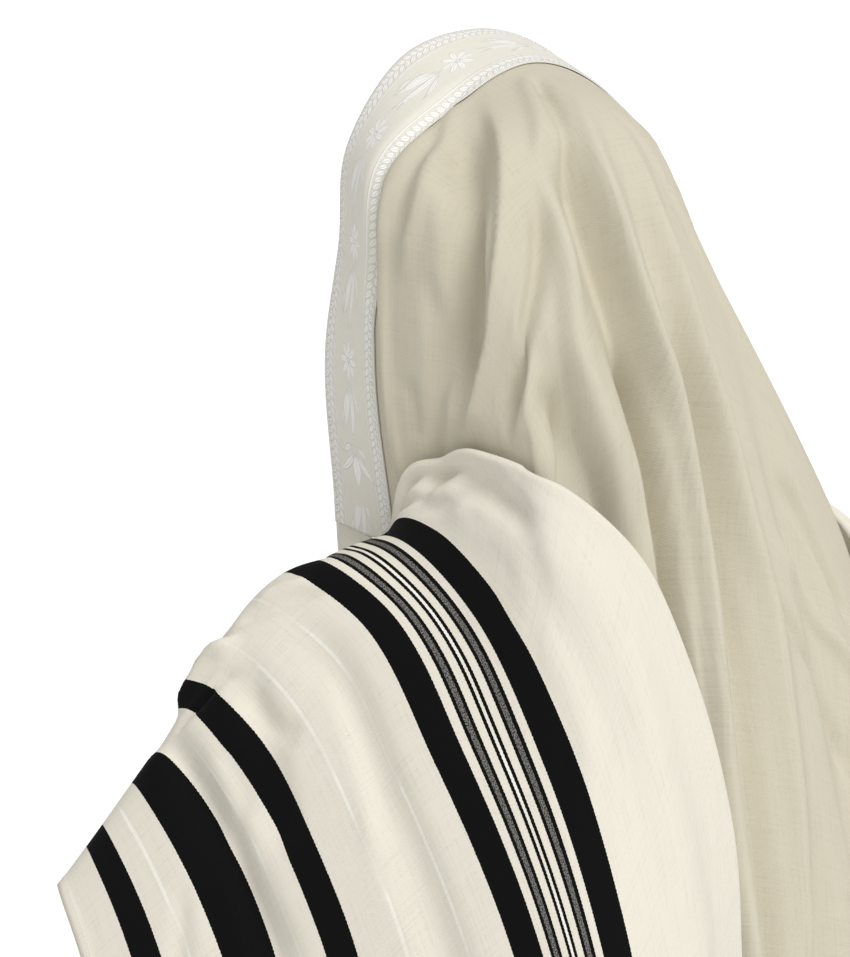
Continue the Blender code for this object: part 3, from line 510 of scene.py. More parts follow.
def fold_height(folds, s, v):
    """How far the folds stand out (+) or in (-): the sum over the folds of
    rise * half a cosine wave of (distance / reach) ^ crest, faded at both ends."""
    height = np.zeros(s.size)
    every = np.stack([v.ravel(), s.ravel()], axis=-1)
    for rise, reach_plus, reach_minus, crest, places in folds.values():
        line = fold_line(places)
        margin = max(reach_plus, reach_minus)
        near_by = ((every > line.min(axis=0) - margin) & (every < line.max(axis=0) + margin)).all(axis=1)
        if not near_by.any():
            continue
        spot = every[near_by][:, None]
        start = line[:-1]
        part = np.diff(line, axis=0)
        share = np.clip(((spot - start) * part).sum(axis=-1) / (part**2).sum(axis=-1), 0.0, 1.0)
        away = spot - start - part * share[..., None]
        near = np.argmin((away**2).sum(axis=-1), axis=1)[:, None]
        away = np.take_along_axis(away, near[..., None], axis=1)[:, 0]
        along = (near[:, 0] + np.take_along_axis(share, near, axis=1)[:, 0]) / len(part)
        turn = part[near[:, 0]]
        plus = turn[:, 0] * away[:, 1] - turn[:, 1] * away[:, 0] > 0
        across = np.clip(np.linalg.norm(away, axis=-1) / np.where(plus, reach_plus, reach_minus), 0.0, 1.0)
        fade = smooth_step(along, 0.0, FOLD_FADE) * smooth_step(1.0 - along, 0.0, FOLD_FADE)
        height[near_by] += rise * fade * 0.5 * (1.0 + np.cos(np.pi * across**crest))
    return height.reshape(s.shape)


# --------------------------------------------------------------- cloth surfaces
def hood_surface(s, v):
    """The unfolded hood at s (rows, columns) and v (rows): each thread is a curve
    through the table's levels, and each row a curve through the threads."""
    levels = np.array(list(HOOD_LEVELS))
    places = np.array(list(HOOD_LEVELS.values())).transpose(1, 0, 2)
    threads = np.stack([curve_through(levels, thread, v) for thread in places], axis=1)
    knots = np.broadcast_to(HOOD_THREADS, threads.shape[:2])
    return curve_through(knots, threads, s)


def on_hood(s, v, out=0.0):
    """Single places over the unfolded hood, moved out by a distance, and normals."""
    places = hood_surface(s[:, None], v)[:, 0]
    normal = surface_normals(hood_surface, s[:, None], v)[:, 0]
    return places + normal * np.reshape(out, (-1, 1)), normal


def table_row(table, v):
    """|s| of a panel's folded edge, and s and v of the cloth beneath, at levels v."""
    table = np.array(table)
    row = curve_through(table[:, 0], table[:, 1:], v)
    return row[:, 0], row[:, 1], row[:, 2]


def hood_edge(table, v):
    """s of the hood's own edge under a panel: half way back to the panel's fold."""
    table = np.array(table)
    sign = np.sign(table[0, 2])
    half = 0.5 * (table[:, 1] * sign + table[:, 2])
    edge = np.where(table[:, 0] > FOLD_FULL, half, half - 3 * FOLD_RADIUS * sign)
    return curve_through(table[:, 3], edge[:, None], v)[:, 0]


def hood_grid(v, left_columns, right_columns):
    """s (rows, columns) of the hood's grid, from its right edge to its left one."""
    left = hood_edge(LEFT_FOLD_EDGE, v)[:, None] * np.linspace(0.0, 1.0, left_columns + 1)[1:]
    right = hood_edge(RIGHT_FOLD_EDGE, v)[:, None] * np.linspace(1.0, 0.0, right_columns + 1)
    return np.concatenate([right, left], axis=1)


def folded_hood(s, v):
    """The hood with its folds: the surface moved along its normals by their height.
    Ridges die out where a panel lies above, and troughs too near the hidden edge."""
    height = fold_height(HOOD_FOLDS, s, np.broadcast_to(v[:, None], s.shape))
    for table, sign in ((LEFT_FOLD_EDGE, 1.0), (RIGHT_FOLD_EDGE, -1.0)):
        table = np.array(table)
        cover = curve_through(table[:, 3], table[:, 2:3], v)
        below = smooth_step((s - cover) * sign, -HOOD_CALM, 0.0)
        hidden = smooth_step((s - hood_edge(table, v)[:, None]) * sign, -HOOD_CALM, 0.0)
        height = (height - np.maximum(height, 0.0) * below) * (1.0 - hidden)
    return hood_surface(s, v) + surface_normals(hood_surface, s, v) * height[..., None]


def panel_surface(threads, table, s, v):
    """An unfolded shoulder panel at |s| (rows, columns) and v (rows): a curve from
    the folded edge through the table's threads."""
    start, s_back, v_back = table_row(table, v)
    edge, _ = on_hood(s_back, v_back, FOLD_LIFT * smooth_step(v, FOLD_START, FOLD_FULL))
    columns = [edge]
    for line in threads.values():
        line = np.array(line)
        columns.append(curve_through(line[:, 0], line[:, 1:], v))
    knots = np.concatenate([start[:, None], np.broadcast_to(list(threads), (len(v), len(threads)))], axis=1)
    return curve_through(knots, np.stack(columns, axis=1), s)


def folded_panel(threads, table, folds, s, v, side):
    """A shoulder panel with its folds, which die out at its folded edge."""
    def flat(s, v):
        return panel_surface(threads, table, s, v)

    beside = smooth_step(s - table_row(table, v)[0][:, None], 0.0, PANEL_CALM)
    height = fold_height(folds, s, np.broadcast_to(v[:, None], s.shape)) * beside
    return flat(s, v) + surface_normals(flat, s, v, side) * height[..., None]


def turned_edge(table, v, side):
    """Columns that roll a panel's edge under: a half circle of FOLD_RADIUS over the
    cloth beneath, which opens out into the flat sheet towards the top edge."""
    _, s_back, v_back = table_row(table, v)
    sign = np.sign(table[0][2])
    turn = smooth_step(v, FOLD_START, FOLD_FULL)[:, None]
    middle, out = on_hood(s_back, v_back, (FOLD_LIFT - FOLD_RADIUS) * turn)
    into = unit(np.cross(np.gradient(middle, axis=0), out)) * side
    seam = hood_edge(table, v) + sign * SEAM_GAP
    columns = []
    for share in np.linspace(0.0, 1.0, FOLD_STEPS + 1)[:-1]:
        angle = np.pi * (share - 0.5)
        level, _ = on_hood(seam + (s_back - seam) * share, v + (v_back - v) * share)
        bent = middle + (out * np.sin(angle) - into * np.cos(angle)) * FOLD_RADIUS
        columns.append(level * (1 - turn) + bent * turn)
    return np.stack(columns, axis=1)


def tuck_points(table, v):
    """The layer between: it turns back at the hood's hidden edge and runs to the
    panel's fold at an even height over the hood. Answers points and each one's s."""
    _, s_back, v_back = table_row(table, v)
    sign = np.sign(table[0][2])
    height = FOLD_LIFT - 2 * FOLD_RADIUS
    seam = hood_edge(table, v) + sign * TUCK_GAP
    first, out = on_hood(seam, v)
    away = unit(np.cross(np.gradient(first, axis=0), out)) * sign
    points = []
    places = []
    for angle in np.linspace(-0.5, 0.5, 6)[:-1] * np.pi:
        points.append(first + out * height / 2 * (1 + np.sin(angle)) + away * height / 2 * np.cos(angle))
        places.append(seam + sign * height / 2 * (angle + np.pi / 2))
    for share in np.linspace(0.0, 1.0, TUCK_STEPS + 1):
        s = seam + (s_back + sign * TUCK_GAP - seam) * share
        over, _ = on_hood(s, v + (v_back - v) * share, height)
        points.append(over)
        places.append(seam + sign * (height / 2 * np.pi + np.abs(s - seam)))
    return np.stack(points, axis=1), np.stack(places, axis=1)


def row_levels(step):
    """Levels v of the rows: a step apart over the hood, wider further down, with
    rows for the hem's fold."""
    close_until = 0.5
    wider = 1.45
    stop = CLOTH_HEIGHT
    upper = np.arange(0.0, close_until, step)
    count = int(round((stop - close_until) / (wider * step)))
    lower = np.linspace(close_until, stop - HEM_WIDTH - HEM_STEP, count)
    return np.concatenate([upper, lower, [stop - HEM_WIDTH, stop - HEM_WIDTH / 2, stop]])


def panel_grid(threads, table, v, columns):
    """|s| (rows, columns) from the folded edge to the end edge, with its hem."""
    start = table_row(table, v)[0][:, None]
    first = min(threads)
    share_over_shoulder = 0.30
    near = int(round(columns * share_over_shoulder))
    stop = HALF_LENGTH - HEM_WIDTH
    roll = start + (first - start) * np.linspace(0.0, 1.0, near + 1)[:-1]
    arm = np.linspace(first, stop - HEM_STEP, columns - near)
    arm = np.concatenate([arm, [stop, stop + HEM_WIDTH / 2, HALF_LENGTH]])
    return np.concatenate([roll, np.broadcast_to(arm, (len(v), len(arm)))], axis=1)


def hem_share(distance):
    """1 on the doubled hem within HEM_WIDTH of an edge, 0 on the single cloth."""
    return 1.0 - smooth_step(distance, HEM_WIDTH - 0.0001, HEM_WIDTH + 0.0005)


# ------------------------------------------------------------------ mesh making
def solid_mesh(name, points, faces, uv=None):
    """A mesh from points and arrays of faces, each (count, corners); uv is per point."""
    mesh = bpy.data.meshes.new(name)
    corners = np.concatenate([block.ravel() for block in faces])
    sizes = np.concatenate([np.full(len(block), block.shape[1]) for block in faces])
    starts = np.concatenate([[0], np.cumsum(sizes)[:-1]])
    mesh.vertices.add(len(points))
    mesh.vertices.foreach_set("co", np.asarray(points, np.float32).ravel())
    mesh.loops.add(len(corners))
    mesh.loops.foreach_set("vertex_index", corners.astype(np.int32))
    mesh.polygons.add(len(sizes))
    mesh.polygons.foreach_set("loop_start", starts.astype(np.int32))
    mesh.update(calc_edges=True)
    if uv is not None:
        layer = mesh.uv_layers.new(name="cloth")
        layer.data.foreach_set("uv", np.asarray(uv, np.float32)[corners].ravel())
    mesh.shade_smooth()
    if mesh.validate():
        raise RuntimeError(name + ": the mesh had faults")
    return mesh


def linked_object(name, data):
    """An object with its data, in the scene."""
    thing = bpy.data.objects.new(name, data)
    bpy.context.scene.collection.objects.link(thing)
    return thing


def add_piece(name, mesh, material, node):
    """A finished mesh as a piece that rides on the body, and stands for a node if given."""
    mesh.materials.append(material)
    piece = linked_object(name, mesh)
    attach(piece, "root")
    if node:
        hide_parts(node)
    return piece


def wall_mesh(name, outer, inner, uv):
    """A closed wall between two grids of the same shape: a face per cell on each
    side, and one along each step of the border."""
    rows, columns = outer.shape[:2]
    count = rows * columns
    number = np.arange(count).reshape(rows, columns)
    quads = np.stack([number[:-1, :-1], number[1:, :-1], number[1:, 1:], number[:-1, 1:]], axis=-1)
    quads = quads.reshape(-1, 4)
    border = np.concatenate([number[0, :-1], number[:-1, -1], number[-1, :0:-1], number[:0:-1, 0]])
    following = np.roll(border, -1)
    rim = np.stack([border, border + count, following + count, following], axis=-1)
    along_v = outer[1:, :-1] - outer[:-1, :-1]
    along_s = outer[:-1, 1:] - outer[:-1, :-1]
    if (np.cross(along_v, along_s) * (outer - inner)[:-1, :-1]).sum() > 0:
        faces = [quads, quads[:, ::-1] + count, rim[:, ::-1]]
    else:
        faces = [quads[:, ::-1], quads + count, rim]
    points = np.concatenate([outer.reshape(-1, 3), inner.reshape(-1, 3)])
    uv = np.concatenate([uv.reshape(-1, 2)] * 2)
    return solid_mesh(name, points, faces, uv)


def ring_faces(count, rings, sides):
    """Faces of closed tubes whose points run ring by ring: the walls, and both ends."""
    number = np.arange(count * rings * sides).reshape(count, rings, sides)
    after = np.roll(number, -1, axis=2)
    walls = np.stack([number[:, :-1], after[:, :-1], after[:, 1:], number[:, 1:]], axis=-1)
    return [walls.reshape(-1, 4), number[:, 0, ::-1].reshape(-1, sides), number[:, -1].reshape(-1, sides)]


def paths_tubes(paths, radii, sides, aside):
    """Closed tubes: rings of the given radii square to each path, an end face on each.

    paths is (k, n, 3), radii (n,) or (k, n, sides), aside a direction that no path
    follows. Answers points, faces and (around, along) for each point.
    """
    paths = np.asarray(paths, float)
    count, length = paths.shape[:2]
    tangent = unit(np.gradient(paths, axis=1))
    across = unit(np.cross(tangent, np.broadcast_to(aside, paths.shape)))
    upward = np.cross(across, tangent)
    angle = 2 * np.pi * np.arange(sides) / sides
    ring = across[:, :, None] * np.cos(angle)[:, None] + upward[:, :, None] * np.sin(angle)[:, None]
    radii = np.asarray(radii, float)
    if radii.ndim == 1:
        radii = np.broadcast_to(radii[None, :, None], (count, length, sides))
    points = paths[:, :, None] + ring * radii[..., None]
    step = np.linalg.norm(np.diff(paths, axis=1), axis=2)
    along = np.concatenate([np.zeros((count, 1)), np.cumsum(step, axis=1)], axis=1)
    uv = np.stack(np.broadcast_arrays(np.arange(sides) / sides, along[..., None]), axis=-1)
    return points.reshape(-1, 3), ring_faces(count, length, sides), uv.reshape(-1, 2)


def merge_parts(parts):
    """One set of points, faces and uv from several, their numbers carried on."""
    points, faces, uvs, start = [], [], [], 0
    for part_points, part_faces, part_uv in parts:
        points.append(part_points)
        faces += [block + start for block in part_faces]
        uvs.append(part_uv)
        start += len(part_points)
    return np.concatenate(points), faces, np.concatenate(uvs)


def stitch_parts(line, normal):
    """Small sewn stitches along a line: each a bent spindle of five sides and four
    rings, laid on the cloth from one place of the line towards the next."""
    forward = unit(np.gradient(line, axis=0))
    share = np.array((-0.5, -0.25, 0.25, 0.5))
    rise = np.array((-0.4, 1.0, 1.0, -0.4)) * STITCH_RADIUS
    paths = line[:, None] + forward[:, None] * share[:, None] * STITCH_LENGTH
    paths = paths + normal[:, None] * rise[:, None]
    radii = np.array((0.4, 1.0, 1.0, 0.4)) * STITCH_RADIUS
    count, rings = paths.shape[:2]
    sides = 5
    angle = 2 * np.pi * np.arange(sides) / sides
    across = unit(np.cross(forward, normal))[:, None, None]
    ring = across * np.cos(angle)[:, None] + normal[:, None, None] * np.sin(angle)[:, None]
    points = (paths[:, :, None] + ring * radii[None, :, None, None]).reshape(-1, 3)
    faces = [block[:, ::-1] for block in ring_faces(count, rings, sides)]
    return points, faces, np.zeros((len(points), 2))


# -------------------------------------------------------------------- materials
class Wiring:
    """Adds nodes to a tree and joins them; most methods answer the new output."""

    def __init__(self, tree):
        self.tree = tree

    def node(self, kind, **settings):
        """A new node of a kind, with its settings; this one answers the node."""
        node = self.tree.nodes.new(kind)
        for name, value in settings.items():
            setattr(node, name, value)
        return node

    def feed(self, socket, value):
        """Give an input a plain value or another node's output."""
        if isinstance(value, bpy.types.NodeSocket):
            self.tree.links.new(value, socket)
        else:
            socket.default_value = value

    def sum(self, operation, *values):
        """One step of arithmetic on numbers and outputs."""
        node = self.node("ShaderNodeMath", operation=operation)
        for socket, value in zip(node.inputs, values):
            self.feed(socket, value)
        return node.outputs[0]

    def between(self, value, low, high, start=0.0, stop=1.0):
        """start below low, stop above high, a smooth step from one to the other."""
        node = self.node("ShaderNodeMapRange", interpolation_type="SMOOTHSTEP")
        for socket, setting in zip(node.inputs, (value, low, high, start, stop)):
            self.feed(socket, setting)
        return node.outputs[0]

    def gap(self, first, second):
        """How far two numbers are apart."""
        return self.sum("ABSOLUTE", self.sum("SUBTRACT", first, second))

    def tint(self, share, first, second):
        """The first colour, and by its share the second."""
        node = self.node("ShaderNodeMix", data_type="RGBA")
        for index, setting in ((0, share), (6, first), (7, second)):
            self.feed(node.inputs[index], setting)
        return node.outputs[2]

    def parts(self, vector):
        """The first two numbers of a vector."""
        node = self.node("ShaderNodeSeparateXYZ")
        self.feed(node.inputs[0], vector)
        return node.outputs[0], node.outputs[1]

    def joined(self, x, y):
        """A flat vector of two numbers."""
        node = self.node("ShaderNodeCombineXYZ")
        self.feed(node.inputs[0], x)
        self.feed(node.inputs[1], y)
        return node.outputs[0]

    def noise(self, vector, scale, detail=2.0, roughness=0.5):
        """Noise of a fineness, about one half."""
        node = self.node("ShaderNodeTexNoise")
        self.feed(node.inputs["Vector"], vector)
        self.feed(node.inputs["Scale"], scale)
        self.feed(node.inputs["Detail"], detail)
        self.feed(node.inputs["Roughness"], roughness)
        return node.outputs[0]

    def fibres(self, x, y, fineness_x, fineness_y, detail=1.0):
        """Noise with its own fineness along each of two directions."""
        place = self.joined(self.sum("MULTIPLY", x, fineness_x), self.sum("MULTIPLY", y, fineness_y))
        return self.noise(place, 1.0, detail)

    def group(self, tree, **values):
        """A node group with its inputs set by their names."""
        node = self.node("ShaderNodeGroup", node_tree=tree)
        for name, value in values.items():
            self.feed(node.inputs[name], value)
        return node.outputs

    def bump(self, height, distance, strength, normal=None):
        """The normal of a raised surface, over another normal if one is given."""
        node = self.node("ShaderNodeBump")
        self.feed(node.inputs["Height"], height)
        self.feed(node.inputs["Distance"], distance)
        self.feed(node.inputs["Strength"], strength)
        if normal is not None:
            self.feed(node.inputs["Normal"], normal)
        return node.outputs[0]


def new_group(name, inputs, outputs):
    """An empty node group with named sockets: (name, kind, default) and (name, kind)."""
    tree = bpy.data.node_groups.new(name, "ShaderNodeTree")
    for label, kind, default in inputs:
        socket = tree.interface.new_socket(name=label, in_out="INPUT", socket_type="NodeSocket" + kind)
        if default is not None:
            socket.default_value = default
    for label, kind in outputs:
        tree.interface.new_socket(name=label, in_out="OUTPUT", socket_type="NodeSocket" + kind)
    wiring = Wiring(tree)
    return tree, wiring, wiring.node("NodeGroupInput").outputs, wiring.node("NodeGroupOutput").inputs


def weave_group():
    """Plain weave: two sets of rounded threads over and under each other, and the
    uneven thickness of single yarns, longer along each yarn than across it."""
    inputs = (("Place", "Vector", None), ("Pitch", "Float", 0.0009), ("Slub", "Float", 0.05))
    tree, w, given, made = new_group("plain_weave", inputs, (("Height", "Float"), ("Shade", "Float")))
    x, y = w.parts(given["Place"])
    turn_x = w.sum("MULTIPLY", w.sum("DIVIDE", x, given["Pitch"]), np.pi)
    turn_y = w.sum("MULTIPLY", w.sum("DIVIDE", y, given["Pitch"]), np.pi)
    over = w.sum("MULTIPLY", w.sum("SINE", turn_x), w.sum("SINE", turn_y))
    round_x = w.sum("ABSOLUTE", w.sum("COSINE", turn_x))
    round_y = w.sum("ABSOLUTE", w.sum("COSINE", turn_y))
    rounds = w.sum("ADD", round_x, round_y)
    height = w.sum("MULTIPLY_ADD", over, 0.35, w.sum("MULTIPLY", rounds, -0.3))
    upright = w.fibres(x, y, 560.0, 20.0)
    sideways = w.fibres(x, y, 20.0, 560.0)
    slubs = w.sum("SUBTRACT", w.sum("ADD", upright, sideways), 1.0)
    w.feed(made["Height"], w.sum("MULTIPLY_ADD", slubs, 0.8, height))
    w.feed(made["Shade"], w.sum("MULTIPLY_ADD", slubs, w.sum("MULTIPLY", given["Slub"], 2.0), 1.0))
    return tree


def stitch_group():
    """A row of sewn stitches: dashes of a length at a pitch along a line."""
    inputs = (("Across", "Float", 0.0), ("Along", "Float", 0.0), ("Pitch", "Float", 0.003))
    tree, w, given, made = new_group("stitch_row", inputs, (("Mask", "Float"),))
    phase = w.sum("PINGPONG", w.sum("DIVIDE", given["Along"], given["Pitch"]), 0.5)
    dash = w.between(phase, 0.12, 0.20)
    line = w.between(w.sum("ABSOLUTE", given["Across"]), 0.0003, 0.0006, 1.0, 0.0)
    w.feed(made["Mask"], w.sum("MULTIPLY", dash, line))
    return tree


def cloth_tone_group():
    """Slow changes of tone over a cloth, some centimetres across."""
    inputs = (("Place", "Vector", None), ("Amount", "Float", 0.04))
    tree, w, given, made = new_group("cloth_tone", inputs, (("Factor", "Float"),))
    wide = w.noise(given["Place"], 9.0, 3.0, 0.6)
    w.feed(made["Factor"], w.sum("MULTIPLY_ADD", w.sum("SUBTRACT", wide, 0.5), given["Amount"], 1.0))
    return tree


def leaf_group():
    """A pointed leaf from its root at an angle, bent to one side by Bend times the
    distance squared: its half width is a sine arch along it, with a thin vein."""
    inputs = (("Along", "Float", 0.0), ("Across", "Float", 0.0), ("Angle", "Float", 0.0),
              ("Length", "Float", 0.02), ("Width", "Float", 0.005), ("Bend", "Float", 0.0))
    tree, w, given, made = new_group("woven_leaf", inputs, (("Mask", "Float"),))
    cosine = w.sum("COSINE", given["Angle"])
    sine = w.sum("SINE", given["Angle"])
    along, across = given["Along"], given["Across"]
    far = w.sum("ADD", w.sum("MULTIPLY", along, cosine), w.sum("MULTIPLY", across, sine))
    off = w.sum("SUBTRACT", w.sum("MULTIPLY", across, cosine), w.sum("MULTIPLY", along, sine))
    off = w.sum("ADD", off, w.sum("MULTIPLY", w.sum("MULTIPLY", far, far), given["Bend"]))
    share = w.sum("MINIMUM", w.sum("MAXIMUM", w.sum("DIVIDE", far, given["Length"]), 0.0), 1.0)
    turn = w.sum("MULTIPLY", w.sum("POWER", share, 0.8), np.pi)
    arch = w.sum("MULTIPLY", w.sum("SINE", turn), given["Width"])
    inside = w.sum("SUBTRACT", w.sum("MULTIPLY", arch, 0.5), w.sum("ABSOLUTE", off))
    body = w.between(inside, 0.0, 0.0005)
    vein = w.between(w.sum("ABSOLUTE", off), 0.0001, 0.0005, 0.45, 1.0)
    w.feed(made["Mask"], w.sum("MULTIPLY", body, vein))
    return tree


def finish_shader(material, w, colour, roughness, normal, sheen, specular=0.25):
    """Feed the material's own Principled shader; its plain numbers stay on it."""
    shader = material.node_tree.nodes["Principled BSDF"]
    w.feed(shader.inputs["Base Color"], colour)
    w.feed(shader.inputs["Roughness"], roughness)
    w.feed(shader.inputs["Normal"], normal)
    shader.inputs["Sheen Weight"].default_value = sheen
    shader.inputs["Sheen Roughness"].default_value = 0.5
    shader.inputs["Specular IOR Level"].default_value = specular


def new_material(name):
    """A material with nodes, and the wiring of its tree."""
    material = bpy.data.materials.new(name)
    material.use_nodes = True
    return material, Wiring(material.node_tree)


def cloth_place(w):
    """The place (s, v) on the cloth, and its two numbers."""
    place = w.node("ShaderNodeUVMap", uv_map="cloth").outputs[0]
    return place, *w.parts(place)


def woven_ground(w, groups, place, pitch, slub, amount):
    """A weave's height, and its shade from slubs and slow changes of tone."""
    weave = w.group(groups["weave"], Place=place, Pitch=pitch, Slub=slub)
    tone = w.group(groups["tone"], Place=place, Amount=amount)["Factor"]
    return weave["Height"], w.sum("MULTIPLY", weave["Shade"], tone)


def union(w, masks):
    """The greatest of several masks at each place."""
    total = masks[0]
    for mask in masks[1:]:
        total = w.sum("MAXIMUM", total, mask)
    return total


def band_stops():
    """Rising places from the end edge, each with the yarn channel that starts there."""
    bands = list(SINGLE_BANDS)
    for start, stop, yarn in GROUP_BANDS:
        bands.append((GROUP_MIDDLE + start, GROUP_MIDDLE + stop, yarn))
        bands.append((GROUP_MIDDLE - stop, GROUP_MIDDLE - start, yarn))
    stops = {}
    for start, stop, yarn in sorted(bands):
        stops[round(start, 5)] = YARN_CHANNEL[yarn]
        stops.setdefault(round(stop, 5), None)
    return sorted(stops.items())


def yarn_masks(w, distance):
    """Masks of the dark, grey and satin yarns at a distance from the end edge."""
    stops = band_stops()
    half = len(stops) // 2
    totals = None
    middle = stops[half][0]
    for low, high, block in ((0.0, middle, stops[:half]), (middle, BAND_REACH, stops[half:])):
        node = w.node("ShaderNodeValToRGB")
        ramp = node.color_ramp
        ramp.interpolation = "CONSTANT"
        ramp.elements[0].color = BLACK
        ramp.elements.remove(ramp.elements[1])
        for place, channel in block:
            share = (place - low) / (high - low)
            element = ramp.elements[0] if share <= 0 else ramp.elements.new(share)
            element.color = [1.0 if k == channel else 0.0 for k in range(3)] + [1.0]
        w.feed(node.inputs[0], w.sum("DIVIDE", w.sum("SUBTRACT", distance, low), high - low))
        colour = w.node("ShaderNodeSeparateColor")
        w.feed(colour.inputs[0], node.outputs[0])
        here = w.sum("MULTIPLY", w.sum("GREATER_THAN", distance, low), w.sum("LESS_THAN", distance, high))
        found = [w.sum("MULTIPLY", colour.outputs[k], here) for k in range(3)]
        totals = found if totals is None else [w.sum("ADD", a, b) for a, b in zip(totals, found)]
    return totals


def wool_material(name, groups, colours, wool_colour):
    """Fine wool with its woven bands, satin lines, hem stitches and weave."""
    material, w = new_material(name)
    place, s, v = cloth_place(w)
    edge = w.sum("SUBTRACT", HALF_LENGTH, w.sum("ABSOLUTE", s))
    saw = w.sum("PINGPONG", w.sum("DIVIDE", v, 0.0016), 1.0)
    steps = w.sum("MULTIPLY_ADD", saw, 0.0003, -0.00015)
    wander = w.sum("MULTIPLY_ADD", w.fibres(edge, v, 8.0, 420.0, 2.0), 0.0006, -0.0003)
    dark, grey, satin = yarn_masks(w, w.sum("ADD", edge, w.sum("ADD", steps, wander)))
    height, shade = woven_ground(w, groups, place, 0.0010, 0.10, 0.05)
    speckle = w.fibres(edge, v, 1300.0, 800.0)
    satin_wear = w.between(w.noise(w.joined(s, v), 16.0, 2.0), 0.40, 0.58, 0.15, 0.9)
    wool = w.tint(w.sum("MULTIPLY", satin, satin_wear), wool_colour, colours["satin"])
    grey_yarn = w.tint(w.between(speckle, 0.35, 0.65), colours["dark"], colours["grey"])
    wool = w.tint(grey, wool, grey_yarn)
    wool = w.tint(shade, BLACK, wool)
    colour = w.tint(dark, wool, colours["dark"])
    hem = w.sum("SUBTRACT", CLOTH_HEIGHT - HEM_WIDTH, v)
    end = w.sum("SUBTRACT", edge, HEM_WIDTH)
    row = w.group(groups["stitch"], Across=hem, Along=s, Pitch=HEM_STITCH_PITCH)["Mask"]
    column = w.group(groups["stitch"], Across=end, Along=v, Pitch=HEM_STITCH_PITCH)["Mask"]
    stitches = w.sum("MAXIMUM", row, column)
    colour = w.tint(w.sum("MULTIPLY", stitches, 0.35), colour, colours["satin"])
    roughness = w.sum("MULTIPLY_ADD", satin, -0.30, 0.86)
    relief = w.sum("ADD", height, w.sum("MULTIPLY", stitches, 2.0))
    relief = w.sum("ADD", relief, w.sum("MULTIPLY", dark, 0.5))
    soft = w.noise(place, 40.0, 3.0, 0.55)
    normal = w.bump(relief, 0.00012, 0.9, w.bump(soft, 0.0010, 0.5))
    finish_shader(material, w, colour, roughness, normal, 0.02, 0.08)


def braid_mask(w, groups, s, across, middle):
    """Two rows of short leaves that meet on a line and lean the same way."""
    off = w.gap(across, middle)
    side = w.sum("GREATER_THAN", across, middle)
    shifted = w.sum("ADD", w.sum("DIVIDE", s, BRAID_PITCH), w.sum("MULTIPLY", side, 0.5))
    cell = w.sum("MULTIPLY", w.sum("SUBTRACT", w.sum("FRACT", shifted), 0.25), BRAID_PITCH)
    masks = []
    for back in (0.0, BRAID_PITCH):
        leaf = w.group(groups["leaf"], Along=w.sum("ADD", cell, back), Across=off, Angle=BRAID_ANGLE,
                       Length=BRAID_LEAF_LENGTH, Width=BRAID_LEAF_WIDTH)
        masks.append(leaf["Mask"])
    return union(w, masks)


def leaves_mask(w, groups, leaves, along, across):
    """The union of a table's leaves about a motif's middle."""
    masks = []
    for x, y, angle, length, width, bend in leaves:
        leaf = w.group(groups["leaf"], Along=w.sum("SUBTRACT", along, x), Across=w.sum("SUBTRACT", across, y),
                       Angle=np.radians(angle), Length=length, Width=width, Bend=bend)
        masks.append(leaf["Mask"])
    return union(w, masks)


def flower_mask(w, along, across):
    """A flower of pointed petals: inside where the distance is under its radius times
    a power of the cosine of the angle, with an open ring about its middle."""
    stretched = w.sum("DIVIDE", along, 1.25)
    distance = w.sum("SQRT", w.sum("ADD", w.sum("POWER", w.sum("ABSOLUTE", stretched), 2.0),
                                   w.sum("POWER", w.sum("ABSOLUTE", across), 2.0)))
    angle = w.sum("ARCTAN2", across, stretched)
    wave = w.sum("ABSOLUTE", w.sum("COSINE", w.sum("MULTIPLY", angle, FLOWER_PETALS / 2)))
    limit = w.sum("MULTIPLY", w.sum("POWER", wave, 0.9), FLOWER_RADIUS)
    body = w.between(w.sum("SUBTRACT", limit, distance), 0.0, 0.0006)
    vein = w.between(wave, 0.975, 0.995, 1.0, 0.5)
    ring = w.between(distance, 0.0016, 0.0022)
    heart = w.between(distance, 0.0009, 0.0013, 1.0, 0.0)
    return w.sum("MAXIMUM", w.sum("MULTIPLY", w.sum("MULTIPLY", body, vein), ring), heart)


def repeated(w, s, centre):
    """The distance along the band from the nearest repeat of a motif's middle."""
    turned = w.sum("DIVIDE", w.sum("SUBTRACT", s, centre), MOTIF_REPEAT)
    cell = w.sum("SUBTRACT", w.sum("FRACT", w.sum("ADD", turned, 0.5)), 0.5)
    return w.sum("MULTIPLY", cell, MOTIF_REPEAT)


